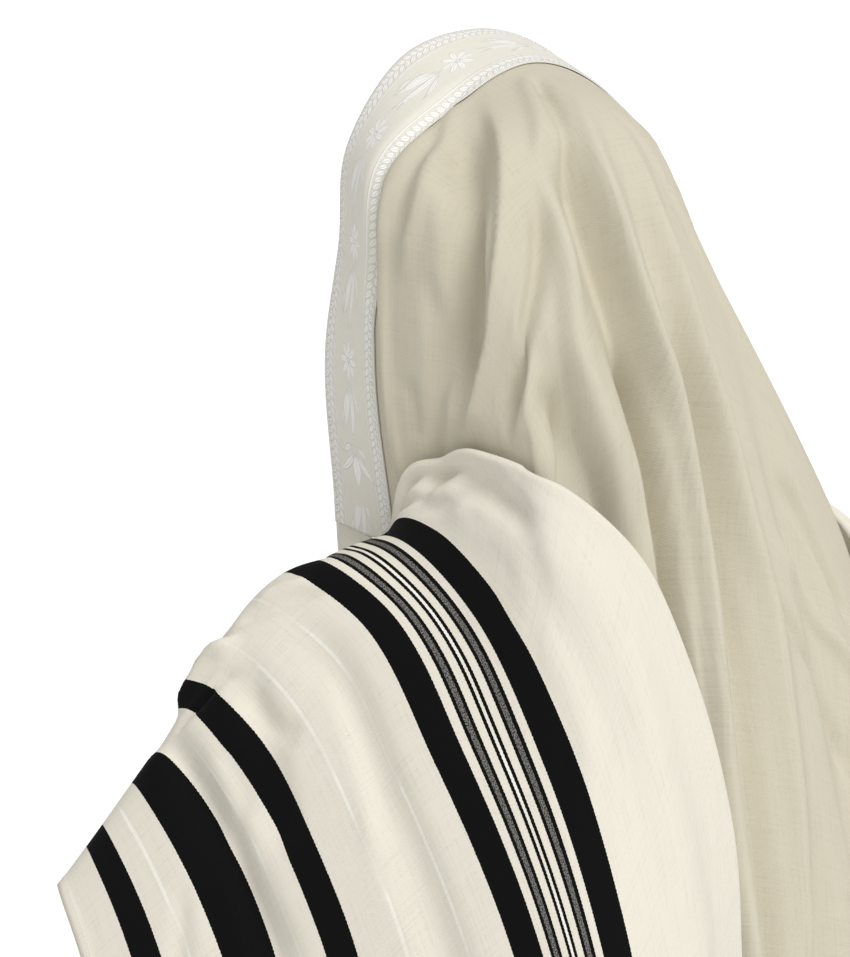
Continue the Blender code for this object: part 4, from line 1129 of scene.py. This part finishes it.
def brocade_material(groups, colours):
    """The neckband: satin leaves and flowers raised on a finely ribbed ground."""
    material, w = new_material("atarah_brocade")
    place, s, v = cloth_place(w)
    middle = w.sum("SUBTRACT", v, ATARAH_WIDTH / 2)
    frond = leaves_mask(w, groups, FROND_LEAVES, repeated(w, s, 0.0), middle)
    flower = flower_mask(w, repeated(w, s, FLOWER_SHIFT), middle)
    from_bud = w.sum("SUBTRACT", w.sum("ABSOLUTE", s), BUD_PLACE)
    clear = w.sum("GREATER_THAN", w.sum("ABSOLUTE", from_bud), BUD_CLEAR)
    masks = [w.sum("MULTIPLY", union(w, [frond, flower]), clear)]
    masks.append(leaves_mask(w, groups, BUD_LEAVES, from_bud, middle))
    for line in BRAID_MIDDLES:
        inside = w.sum("LESS_THAN", w.gap(v, line), BRAID_HALF)
        masks.append(w.sum("MULTIPLY", braid_mask(w, groups, s, v, line), inside))
    cords = union(w, [w.between(w.gap(v, line), 0.0003, 0.0009, 1.0, 0.0) for line in CORD_LINES])
    raised = union(w, [*masks, w.sum("MULTIPLY", cords, 0.8)])
    height, shade = woven_ground(w, groups, place, 0.0007, 0.05, 0.04)
    colour = w.tint(shade, BLACK, w.tint(raised, colours["ground"], colours["motif"]))
    roughness = w.sum("MULTIPLY_ADD", raised, -0.22, 0.62)
    floats = w.fibres(s, v, 260.0, 1500.0)
    relief = w.sum("ADD", raised, w.sum("MULTIPLY", w.sum("MULTIPLY", floats, raised), 0.25))
    normal = w.bump(height, 0.00006, 0.8, w.bump(relief, 0.0005, 1.0))
    finish_shader(material, w, colour, roughness, normal, 0.05)


def satin_material(groups, colours):
    """The corner patches: plain ribbed satin."""
    material, w = new_material("patch_satin")
    place, _, v = cloth_place(w)
    height, shade = woven_ground(w, groups, place, 0.0007, 0.06, 0.05)
    rib = w.sum("PINGPONG", w.sum("DIVIDE", v, 0.0012), 1.0)
    colour = w.tint(shade, BLACK, colours["motif"])
    roughness = w.sum("MULTIPLY_ADD", rib, -0.1, 0.52)
    normal = w.bump(w.sum("MULTIPLY_ADD", rib, 0.8, height), 0.00012, 0.8)
    finish_shader(material, w, colour, roughness, normal, 0.10)


def yarn_material(name, groups, colour, twist):
    """Twisted yarn: slanting plies round the cord, from its own (around, along) map."""
    material, w = new_material(name)
    _, around, along = cloth_place(w)
    slant = w.sum("ADD", w.sum("DIVIDE", along, twist), w.sum("MULTIPLY", around, 2.0))
    ply = w.sum("PINGPONG", slant, 0.5)
    fibre = w.fibres(around, along, 12.0, 1200.0, 2.0)
    tone = w.group(groups["tone"], Place=w.joined(along, around), Amount=0.08)["Factor"]
    # Painted shade: the grooves between the plies are darkened to 0.72 of the yarn's colour, on top of its
    # slow changes of tone.
    shade = w.sum("MULTIPLY", tone, w.between(ply, 0.02, 0.20, 0.72, 1.0))
    roughness = w.sum("MULTIPLY_ADD", fibre, 0.1, 0.74)
    relief = w.sum("MULTIPLY_ADD", fibre, 0.4, w.between(ply, 0.0, 0.4))
    finish_shader(material, w, w.tint(shade, BLACK, colour), roughness, w.bump(relief, 0.0003, 0.9), 0.25)


def floor_material(colour, lift):
    """Pale matt paper; seen straight it is a little brighter than the light it gives."""
    material, w = new_material("pale_floor")
    shader = material.node_tree.nodes["Principled BSDF"]
    seen = w.node("ShaderNodeLightPath").outputs["Is Camera Ray"]
    grain = w.noise(w.node("ShaderNodeTexCoord").outputs["Object"], 3.0, 2.0)
    shade = w.sum("MULTIPLY_ADD", grain, 0.02, 0.98)
    w.feed(shader.inputs["Base Color"], w.tint(shade, BLACK, colour))
    w.feed(shader.inputs["Emission Color"], w.tint(seen, BLACK, (lift, lift, lift, 1.0)))
    shader.inputs["Emission Strength"].default_value = 1.0
    shader.inputs["Roughness"].default_value = 0.9
    return material


# ------------------------------------------------------------------- properties
def colour_property(name, description, default):
    """A colour with its opacity, as the shaders take it."""
    return FloatVectorProperty(name=name, description=description, default=default,
                               size=4, min=0.0, max=1.0, subtype="COLOR")


def length_property(name, description, default, least, most):
    """A length in metres between its least and its most."""
    return FloatProperty(name=name, description=description, default=default,
                         min=least, max=most, unit="LENGTH")


class ClothSettings(bpy.types.PropertyGroup):
    """Sizes and colours of the shawl's cloth."""

    cell: length_property("Cell", "Distance between the cloth's rows over the hood", 0.0042, 0.002, 0.02)
    wall: length_property("Thickness", "Thickness of the wool", 0.0010, 0.0005, 0.003)
    wool: colour_property("Wool", "Colour of the wool", (0.78, 0.748, 0.655, 1.0))
    # Painted shade: the single wool is the same wool made darker and yellower, standing in for the dimmer
    # light on one thin layer over the head beside the brighter doubled panels.
    single: colour_property("Single wool", "Colour of the wool where one layer hangs free",
                            (0.625, 0.585, 0.475, 1.0))
    dark: colour_property("Dark bands", "Colour of the dark bands", (0.0045, 0.0045, 0.0048, 1.0))
    grey: colour_property("Grey bands", "Colour of the light yarn in the grey bands",
                          (0.26, 0.25, 0.235, 1.0))
    satin: colour_property("Satin lines", "Colour of the satin lines", (0.90, 0.88, 0.83, 1.0))


class NeckbandSettings(bpy.types.PropertyGroup):
    """Sizes and colours of the atarah and the corner patches."""

    wall: length_property("Thickness", "Thickness of the brocade", 0.0010, 0.0005, 0.003)
    ground: colour_property("Ground", "Colour of the brocade's ground", (0.81, 0.782, 0.705, 1.0))
    motif: colour_property("Motif", "Colour of the raised satin", (0.98, 0.975, 0.955, 1.0))
    stitch_pitch: length_property("Stitch pitch", "Distance between sewn stitches", 0.0030, 0.001, 0.01)


class TzitzitSettings(bpy.types.PropertyGroup):
    """Sizes and colour of the four tzitzit."""

    length: length_property("Length", "Whole length of one tzitzit", 0.235, 0.1, 0.3)
    cord: length_property("Cord radius", "Radius of one loose strand", 0.00085, 0.0004, 0.002)
    strands: IntProperty(name="Strands", description="Loose strands below the last knot",
                         default=8, min=4, max=16)
    colour: colour_property("Cord", "Colour of the cord", (0.84, 0.815, 0.74, 1.0))


class StageSettings(bpy.types.PropertyGroup):
    """Floor and light."""

    floor: colour_property("Floor", "Colour of the floor", (0.88, 0.88, 0.87, 1.0))
    lift: FloatProperty(name="Floor lift", description="Brightness added where the floor is seen",
                        default=0.30, min=0.0, max=1.0)
    sun: FloatProperty(name="Key light", description="Strength of the soft key light",
                       default=1.85, min=0.0, max=20.0)
    sky: FloatProperty(name="Fill", description="Strength of the light from all around",
                       default=0.54, min=0.0, max=5.0)


def settings():
    """The scene's four groups of settings."""
    scene = bpy.context.scene
    return scene.shawl_cloth, scene.shawl_neckband, scene.shawl_tzitzit, scene.shawl_stage


def finishes():
    """Every material of the shawl by its name, made at the first call."""
    names = ("fine_wool", "fine_wool_painted_shade", "atarah_brocade", "patch_satin", "twisted_cord",
             "sewing_thread")
    if names[0] not in bpy.data.materials:
        cloth, neckband, tzitzit, _ = settings()
        groups = {"weave": weave_group(), "stitch": stitch_group(), "tone": cloth_tone_group(),
                  "leaf": leaf_group()}
        colours = {"dark": tuple(cloth.dark), "grey": tuple(cloth.grey), "satin": tuple(cloth.satin),
                   "ground": tuple(neckband.ground), "motif": tuple(neckband.motif)}
        wool_material("fine_wool", groups, colours, tuple(cloth.wool))
        # A darker copy of the same wool: painted shade for the single layer of the hood.
        wool_material("fine_wool_painted_shade", groups, colours, tuple(cloth.single))
        brocade_material(groups, colours)
        satin_material(groups, colours)
        yarn_material("twisted_cord", groups, tuple(tzitzit.colour), 0.0026)
        yarn_material("sewing_thread", groups, colours["motif"], 0.0012)
    return {name: bpy.data.materials[name] for name in names}


def flat_area(s, v):
    """The cloth's area before it was hung: the widths of its rows times their depth."""
    width = np.abs(s[:, -1] - s[:, 0])
    return float((0.5 * (width[1:] + width[:-1]) * np.diff(v)).sum())


def grid_area(points):
    """The area of a grid of points: half the cross product of each cell's diagonals."""
    first = points[1:, 1:] - points[:-1, :-1]
    second = points[1:, :-1] - points[:-1, 1:]
    return float(np.linalg.norm(np.cross(first, second), axis=-1).sum() / 2)


def cloth_uv(s, v):
    """The place (s, v) of each point of a grid."""
    return np.stack([s, np.broadcast_to(v[:, None], s.shape)], axis=-1)


def cloth_piece(name, points, side, s, v, node, thicker=None, material="fine_wool"):
    """A wool wall behind its outer points, thicker by a share on its hems."""
    cloth = settings()[0]
    normal = grid_normals(points, side)
    wall = np.full(s.shape, cloth.wall)
    outer = points
    if thicker is not None:
        wall = wall + HEM_EXTRA * thicker
        outer = points + normal * (HEM_EXTRA / 2 * thicker)[..., None]
    mesh = wall_mesh(name, outer, outer - normal * wall[..., None], cloth_uv(s, v))
    return add_piece(name, mesh, finishes()[material], node)


class SHAWL_OT_hood(bpy.types.Operator):
    """Build the hood and back, the widest stretch of the cloth"""

    bl_idname = "shawl.hood"
    bl_label = "Hood and back"

    def execute(self, context):
        cloth = settings()[0]
        v = row_levels(cloth.cell)
        left = int(round(HOOD_LEFT_RUN / cloth.cell))
        right = int(round(HOOD_RIGHT_RUN / cloth.cell))
        s = hood_grid(v, left, right)
        points = folded_hood(s, v)
        normal = grid_normals(points, 1.0)
        under = 1.0 - smooth_step(v, ATARAH_WIDTH - 0.002, ATARAH_WIDTH + 0.002)
        points = points - normal * (SINK_UNDER_BAND * under)[:, None, None]
        hem = np.broadcast_to(hem_share(CLOTH_HEIGHT - v)[:, None], s.shape)
        # The hood takes the darker copy of the wool, painted shade where one layer lies over the head.
        piece = cloth_piece("hood_and_back_cloth", points, 1.0, s, v, "hood_and_back", hem,
                            "fine_wool_painted_shade")
        flat_area(s, v)
        return {"FINISHED"}


class SHAWL_OT_panels(bpy.types.Operator):
    """Build both striped ends, each over a shoulder and arm with its edge rolled under"""

    bl_idname = "shawl.panels"
    bl_label = "Shoulder panels"

    def execute(self, context):
        cloth = settings()[0]
        v = row_levels(cloth.cell)
        for prefix, (threads, table, folds, side) in SIDES.items():
            s = panel_grid(threads, table, v, int(round(PANEL_RUN / cloth.cell)))
            points = folded_panel(threads, table, folds, s, v, side)
            rolled = turned_edge(table, v, side)
            steps = np.arange(-FOLD_STEPS, 0) * (np.pi * FOLD_RADIUS / FOLD_STEPS)
            s = np.concatenate([s[:, :1] + steps, s], axis=1)
            points = np.concatenate([rolled, points], axis=1)
            hem = np.maximum(hem_share(CLOTH_HEIGHT - v)[:, None], hem_share(HALF_LENGTH - s))
            name = prefix + "_shoulder_panel"
            woven = HALF_LENGTH - (HALF_LENGTH - s) * CLOSER[prefix]
            piece = cloth_piece(name + "_cloth", points, side, woven * side, v, name, hem)
            flat_area(s, v)
        return {"FINISHED"}


class SHAWL_OT_tucks(bpy.types.Operator):
    """Build the hidden layer of each flat fold, between the back and the panel"""

    bl_idname = "shawl.tucks"
    bl_label = "Folds between"

    def execute(self, context):
        cloth = settings()[0]
        v = row_levels(cloth.cell)
        v = v[v > TUCK_START]
        for prefix, (_, table, _, _) in SIDES.items():
            points, s = tuck_points(table, v)
            piece = cloth_piece(prefix + "_tuck_cloth", points, -1.0, s, v, prefix + "_tuck")
            grid_area(points)
        return {"FINISHED"}


class SHAWL_OT_atarah(bpy.types.Operator):
    """Build the neckband along the top edge, with its two rows of stitches"""

    bl_idname = "shawl.atarah"
    bl_label = "Atarah"

    def execute(self, context):
        neckband = settings()[1]
        rows, left, right = 34, 190, 154
        v = np.linspace(0.0, ATARAH_WIDTH, rows + 1)
        s = hood_grid(v, left, right)
        points = folded_hood(s, v)
        normal = grid_normals(points, 1.0)
        edge = np.minimum(v, ATARAH_WIDTH - v)[:, None, None]
        plump = smooth_step(edge, -0.0005, 0.0016)
        inner = points + normal * ATARAH_LIFT
        outer = inner + normal * neckband.wall * (0.45 + 0.55 * plump)
        mesh = wall_mesh("atarah_band", outer, inner, cloth_uv(s, v))
        made = finishes()
        band = add_piece("atarah_band", mesh, made["atarah_brocade"], "atarah")
        parts = []
        for level in (ATARAH_STITCH_INSET, ATARAH_WIDTH - ATARAH_STITCH_INSET):
            run = np.arange(*ATARAH_RUN, neckband.stitch_pitch)
            low = hood_edge(RIGHT_FOLD_EDGE, np.array([level]))[0] + ATARAH_END_INSET
            high = hood_edge(LEFT_FOLD_EDGE, np.array([level]))[0] - ATARAH_END_INSET
            run = run[(run > low) & (run < high)]
            levels = np.full(len(run), level)
            line = folded_hood(run[:, None], levels)[:, 0]
            out = surface_normals(folded_hood, run[:, None], levels)[:, 0]
            line = line + out * (ATARAH_LIFT + neckband.wall)
            parts.append(stitch_parts(line, out))
        mesh = solid_mesh("atarah_stitches", *merge_parts(parts))
        add_piece("atarah_stitches", mesh, made["sewing_thread"], None)
        return {"FINISHED"}


def corner_surface(prefix, s, v, out):
    """Single places on a panel at |s| and v, moved out by a distance, and normals."""
    threads, table, folds, side = SIDES[prefix]

    def surface(s, v):
        return folded_panel(threads, table, folds, s, v, side)

    normal = surface_normals(surface, s[:, None], v, side)[:, 0]
    return surface(s[:, None], v)[:, 0] + normal * np.reshape(out, (-1, 1)), normal


class SHAWL_OT_patches(bpy.types.Operator):
    """Build the four corner patches, each sewn round and with a bound eyelet"""

    bl_idname = "shawl.patches"
    bl_label = "Corner patches"

    def execute(self, context):
        neckband = settings()[1]
        made = finishes()
        for prefix, (threads, table, folds, side) in SIDES.items():
            for corner, low in (("top", 0.0), ("hem", CLOTH_HEIGHT - PATCH_SIZE)):
                v = np.linspace(low, low + PATCH_SIZE, PATCH_CELLS + 1)
                columns = np.linspace(HALF_LENGTH - PATCH_SIZE, HALF_LENGTH, PATCH_CELLS + 1)
                s = np.broadcast_to(columns, (PATCH_CELLS + 1, PATCH_CELLS + 1))
                points = folded_panel(threads, table, folds, s, v, side)
                normal = grid_normals(points, side)
                edge = np.minimum(np.minimum(s - columns[0], columns[-1] - s),
                                  np.minimum(v - v[0], v[-1] - v)[:, None])
                plump = smooth_step(edge, -0.0005, 0.003)[..., None]
                inner = points + normal * (HEM_EXTRA / 2 + ATARAH_LIFT)
                outer = inner + normal * neckband.wall * (0.5 + 0.5 * plump)
                name = prefix + "_" + corner + "_corner_patch"
                mesh = wall_mesh(name + "_satin", outer, inner, cloth_uv(s * side, v))
                piece = add_piece(name + "_satin", mesh, made["patch_satin"], name)
                width = np.linalg.norm(np.diff(points, axis=1), axis=2).sum(axis=1).mean()
                height = np.linalg.norm(np.diff(points, axis=0), axis=2).sum(axis=0).mean()
                grid_area(points)
                self.sew(prefix, corner, low, neckband, made)
        return {"FINISHED"}

    def sew(self, prefix, corner, low, neckband, made):
        """Stitches along the four sides and a bound ring about the eyelet."""
        near = np.arange(PATCH_STITCH_INSET, PATCH_SIZE - PATCH_STITCH_INSET, neckband.stitch_pitch)
        first = HALF_LENGTH - PATCH_SIZE
        low_side = np.full(len(near), PATCH_STITCH_INSET)
        high_side = np.full(len(near), PATCH_SIZE - PATCH_STITCH_INSET)
        parts = []
        lift = HEM_EXTRA / 2 + ATARAH_LIFT + neckband.wall
        for s, v in ((near, low_side), (near, high_side), (low_side, near), (high_side, near)):
            line, out = corner_surface(prefix, first + s, low + v, lift)
            parts.append(stitch_parts(line, out))
        s, v = eyelet_place(corner)
        angle = np.linspace(0.0, 2 * np.pi, 29)[:-1]
        ring, out = corner_surface(prefix, s + EYELET_RADIUS * np.cos(angle),
                                   v + EYELET_RADIUS * np.sin(angle), lift)
        inward = unit(ring.mean(axis=0) - ring)
        middle = ring[:, None] + inward[:, None] * np.array((-0.0012, -0.0004, 0.0004, 0.0012))[:, None]
        rise = np.array((-0.0002, 0.0004, 0.0004, -0.0002))
        middle = middle + out[:, None] * rise[:, None]
        parts.append(paths_tubes(middle, np.array((0.0002, 0.00045, 0.00045, 0.0002)), 5, out[0]))
        name = prefix + "_" + corner + "_corner_sewing"
        mesh = solid_mesh(name, *merge_parts(parts))
        add_piece(name, mesh, made["sewing_thread"], None)


def eyelet_place(corner):
    """|s| and v of the hole that a tzitzit passes through."""
    return HALF_LENGTH - EYELET_INSET, EYELET_INSET if corner == "top" else CLOTH_HEIGHT - EYELET_INSET


def tip_level(corner):
    """v of a corner's tip."""
    return 0.0 if corner == "top" else CLOTH_HEIGHT


def knot_path(depth):
    """Two slanting turns round the axis whose height waves three times."""
    angle = np.linspace(0.0, 4 * np.pi, KNOT_STEPS)
    wide = KNOT_RADIUS * (1.0 + 0.12 * np.cos(1.5 * angle))
    lift = KNOT_HEIGHT * np.sin(1.5 * angle)
    return np.stack([wide * np.cos(angle), wide * np.sin(angle), -depth + lift], axis=-1)


def coil_path(start, turns, pitch):
    """A close helix round the axis, from a depth down."""
    angle = np.linspace(0.0, 2 * np.pi * turns, int(14 * turns) + 1)
    depth = start + angle / (2 * np.pi) * pitch
    return np.stack([WINDING_RADIUS * np.cos(angle), WINDING_RADIUS * np.sin(angle), -depth], axis=-1)


class SHAWL_OT_tzitzit(bpy.types.Operator):
    """Build the four tzitzit: five knots, four wound stretches and eight strands"""

    bl_idname = "shawl.tzitzit"
    bl_label = "Tzitzit"

    def execute(self, context):
        made = finishes()
        corners = [(prefix, corner) for prefix in SIDES for corner in ("top", "hem")]
        for number, (prefix, corner) in enumerate(corners):
            tip, _ = corner_surface(prefix, np.array([HALF_LENGTH]), np.array([tip_level(corner)]), -0.001)
            top = tip[0] - np.array((0.0, 0.0, TASSEL_DROP))
            parts = [*self.hanging(top, number), self.loop(prefix, corner, top)]
            name = prefix + "_" + corner + "_corner_tzitzit"
            mesh = solid_mesh(name + "_cords", *merge_parts(parts))
            add_piece(name + "_cords", mesh, made["twisted_cord"], name)
        return {"FINISHED"}

    def hanging(self, top, number):
        """The knots, the windings between them and the strands below, from the top."""
        cord = settings()[2].cord
        parts = []
        depth = KNOT_RADIUS
        pitch = cord * 1.85
        upward = (0.0, 0.0, 1.0)
        for turns in (*WINDINGS, 0):
            path = knot_path(depth)[None] + top
            parts.append(paths_tubes(path, np.full(KNOT_STEPS, cord * 1.15), 6, upward))
            if turns:
                start = depth + WINDING_GAP
                path = coil_path(start, turns, pitch)[None] + top
                parts.append(paths_tubes(path, np.full(path.shape[1], cord), 6, upward))
                depth = start + turns * pitch + WINDING_GAP
        core = np.linspace((0.0, 0.0, 0.0), (0.0, 0.0, -depth), 12)[None] + top
        parts.append(paths_tubes(core, np.full(12, CORE_RADIUS), 8, (1.0, 0.0, 0.0)))
        parts.append(self.strands(top, depth, number))
        return parts

    def strands(self, top, depth, number):
        """Loose strands: each leaves the last knot outwards, its distance from the axis
        a quarter of a sine wave to the power 1.3, hangs with a slow wave and ends in a
        small knot. Two plies show as a twisted waist."""
        tzitzit = settings()[2]
        count, rows, sides = tzitzit.strands, 96, 8
        draw = np.random.default_rng(31 + number)
        length = (tzitzit.length - depth) * (0.90 + 0.10 * draw.random(count))
        angle = 2 * np.pi * (np.arange(count) + 0.3 * draw.random(count)) / count
        t = np.linspace(0.0, 1.0, rows)
        spread = 0.0014 + (0.0085 + 0.003 * draw.random(count))[:, None] * np.sin(0.5 * np.pi * t) ** 1.3
        waves = 1.2 + draw.random(count)[:, None]
        sway = 0.0016 * np.sin(2 * np.pi * (t * waves + draw.random(count)[:, None]))
        sway = sway * smooth_step(t, 0.05, 0.5)
        x = spread * np.cos(angle)[:, None] - sway * np.sin(angle)[:, None]
        y = spread * np.sin(angle)[:, None] + sway * np.cos(angle)[:, None]
        z = -depth - t * length[:, None]
        paths = np.stack([x, y, z], axis=-1) + top
        around = 2 * np.pi * np.arange(sides) / sides
        twist = 2 * np.pi * t[None] * length[:, None] / PLY_TURN
        plies = 0.78 + 0.26 * np.abs(np.cos(around - twist[..., None]))
        knot = 1.0 + 0.9 * np.exp(-(((t - 0.955) / 0.012) ** 2))
        frayed = 1.0 - 0.6 * smooth_step(t, 0.985, 1.0)
        radii = tzitzit.cord * plies * (knot * frayed)[None, :, None]
        return paths_tubes(paths, radii, sides, (1.0, 0.2, 0.0))

    def loop(self, prefix, corner, top):
        """Four cords from the eyelet over both faces of the corner to the first knot."""
        cord = settings()[2].cord
        s_hole, v_hole = eyelet_place(corner)
        share = np.linspace(0.0, 1.0, 14)
        paths = []
        for out, aside in ((0.0030, -0.0009), (0.0030, 0.0009), (-0.0034, -0.0009), (-0.0034, 0.0009)):
            lift = out * smooth_step(share, -0.2, 0.15)
            s = s_hole + (HALF_LENGTH - s_hole) * share
            v = v_hole + (tip_level(corner) - v_hole) * share
            line, normal = corner_surface(prefix, s, v, lift)
            away = unit(np.cross(np.gradient(line, axis=0), normal))
            line = line + away * aside
            line[0] -= normal[0] * out
            paths.append(np.concatenate([line, [top + (line[-1] - top) * 0.35, top - (0.0, 0.0, 0.002)]]))
        paths = np.array(paths)
        return paths_tubes(paths, np.full(paths.shape[1], cord), 6, (0.1, 0.2, 1.0))


class SHAWL_OT_stage(bpy.types.Operator):
    """Set the floor, the light and the camera"""

    bl_idname = "shawl.stage"
    bl_label = "Stage"

    def execute(self, context):
        stage = settings()[3]
        scene = bpy.context.scene
        self.floor(stage)
        self.lights(scene, stage)
        camera = bpy.data.cameras.new("view")
        camera.lens = CAMERA_LENS
        camera.sensor_width = CAMERA_SENSOR
        camera.clip_end = 1000.0
        holder = linked_object("view", camera)
        holder.location = CAMERA_PLACE
        holder.rotation_euler = (Vector(CAMERA_TARGET) - holder.location).to_track_quat("-Z", "Y").to_euler()
        scene.camera = holder
        scene.view_settings.view_transform = "Standard"
        return {"FINISHED"}

    def floor(self, stage):
        """A wide disc just under the lowest strand: rings of rising radius."""
        radius = np.array((0.5, 1.0, 2.0, 4.0, 10.0, 40.0, 400.0))
        angle = np.linspace(0.0, 2 * np.pi, 65)[:-1]
        height = CAD_BOX[0][2] - FLOOR_GAP
        x = radius[:, None] * np.cos(angle)
        y = radius[:, None] * np.sin(angle)
        rings = np.stack(np.broadcast_arrays(x, y, height), axis=-1)
        number = np.arange(rings.shape[0] * 64).reshape(-1, 64)
        after = np.roll(number, -1, axis=1)
        quads = np.stack([number[:-1], number[1:], after[1:], after[:-1]], axis=-1).reshape(-1, 4)
        mesh = solid_mesh("floor", rings.reshape(-1, 3), [quads, number[:1]])
        mesh.materials.append(floor_material(tuple(stage.floor), stage.lift))
        floor = linked_object("floor", mesh)

    def lights(self, scene, stage):
        """One broad key from above behind the wearer, and light all around."""
        light = bpy.data.lights.new("key", "SUN")
        light.energy = stage.sun
        light.angle = KEY_ANGLE
        light.color = (1.0, 0.99, 0.97)
        lamp = linked_object("key", light)
        lamp.rotation_euler = Vector(TOWARDS_KEY).to_track_quat("Z", "Y").to_euler()
        world = bpy.data.worlds.new("studio")
        world.use_nodes = True
        w = Wiring(world.node_tree)
        world.node_tree.nodes.clear()
        lit = w.node("ShaderNodeBackground")
        lit.inputs[0].default_value = (1.0, 0.992, 0.975, 1.0)
        lit.inputs[1].default_value = stage.sky
        seen = w.node("ShaderNodeBackground")
        seen.inputs[0].default_value = (1.0, 1.0, 1.0, 1.0)
        mixed = w.node("ShaderNodeMixShader")
        w.feed(mixed.inputs[0], w.node("ShaderNodeLightPath").outputs["Is Camera Ray"])
        w.feed(mixed.inputs[1], lit.outputs[0])
        w.feed(mixed.inputs[2], seen.outputs[0])
        w.feed(w.node("ShaderNodeOutputWorld").inputs[0], mixed.outputs[0])
        scene.world = world


class SHAWL_PT_panel(bpy.types.Panel):
    """The shawl's settings and the steps that build it"""

    bl_idname = "SHAWL_PT_panel"
    bl_label = "Prayer shawl"
    bl_space_type = "VIEW_3D"
    bl_region_type = "UI"
    bl_category = "Prayer shawl"

    def draw(self, context):
        owners = (SHAWL_OT_hood, SHAWL_OT_atarah, SHAWL_OT_tzitzit, SHAWL_OT_stage)
        for group, step in zip(settings(), owners):
            box = self.layout.box()
            box.label(text=step.bl_label)
            for name in group.__annotations__:
                box.prop(group, name)
        for step in STEPS:
            self.layout.operator(step.bl_idname)


STEPS = (SHAWL_OT_hood, SHAWL_OT_panels, SHAWL_OT_tucks, SHAWL_OT_atarah, SHAWL_OT_patches,
         SHAWL_OT_tzitzit, SHAWL_OT_stage)
GROUPS = {"shawl_cloth": ClothSettings, "shawl_neckband": NeckbandSettings,
          "shawl_tzitzit": TzitzitSettings, "shawl_stage": StageSettings}


def register():
    for group in (*GROUPS.values(), *STEPS, SHAWL_PT_panel):
        bpy.utils.register_class(group)
    for name, group in GROUPS.items():
        setattr(bpy.types.Scene, name, PointerProperty(type=group))


def unregister():
    for name in GROUPS:
        delattr(bpy.types.Scene, name)
    for group in reversed((*GROUPS.values(), *STEPS, SHAWL_PT_panel)):
        bpy.utils.unregister_class(group)


def main():
    register()
    for step in STEPS:
        family, name = step.bl_idname.split(".")
        getattr(getattr(bpy.ops, family), name)()


if __name__ == "__main__":
    main()
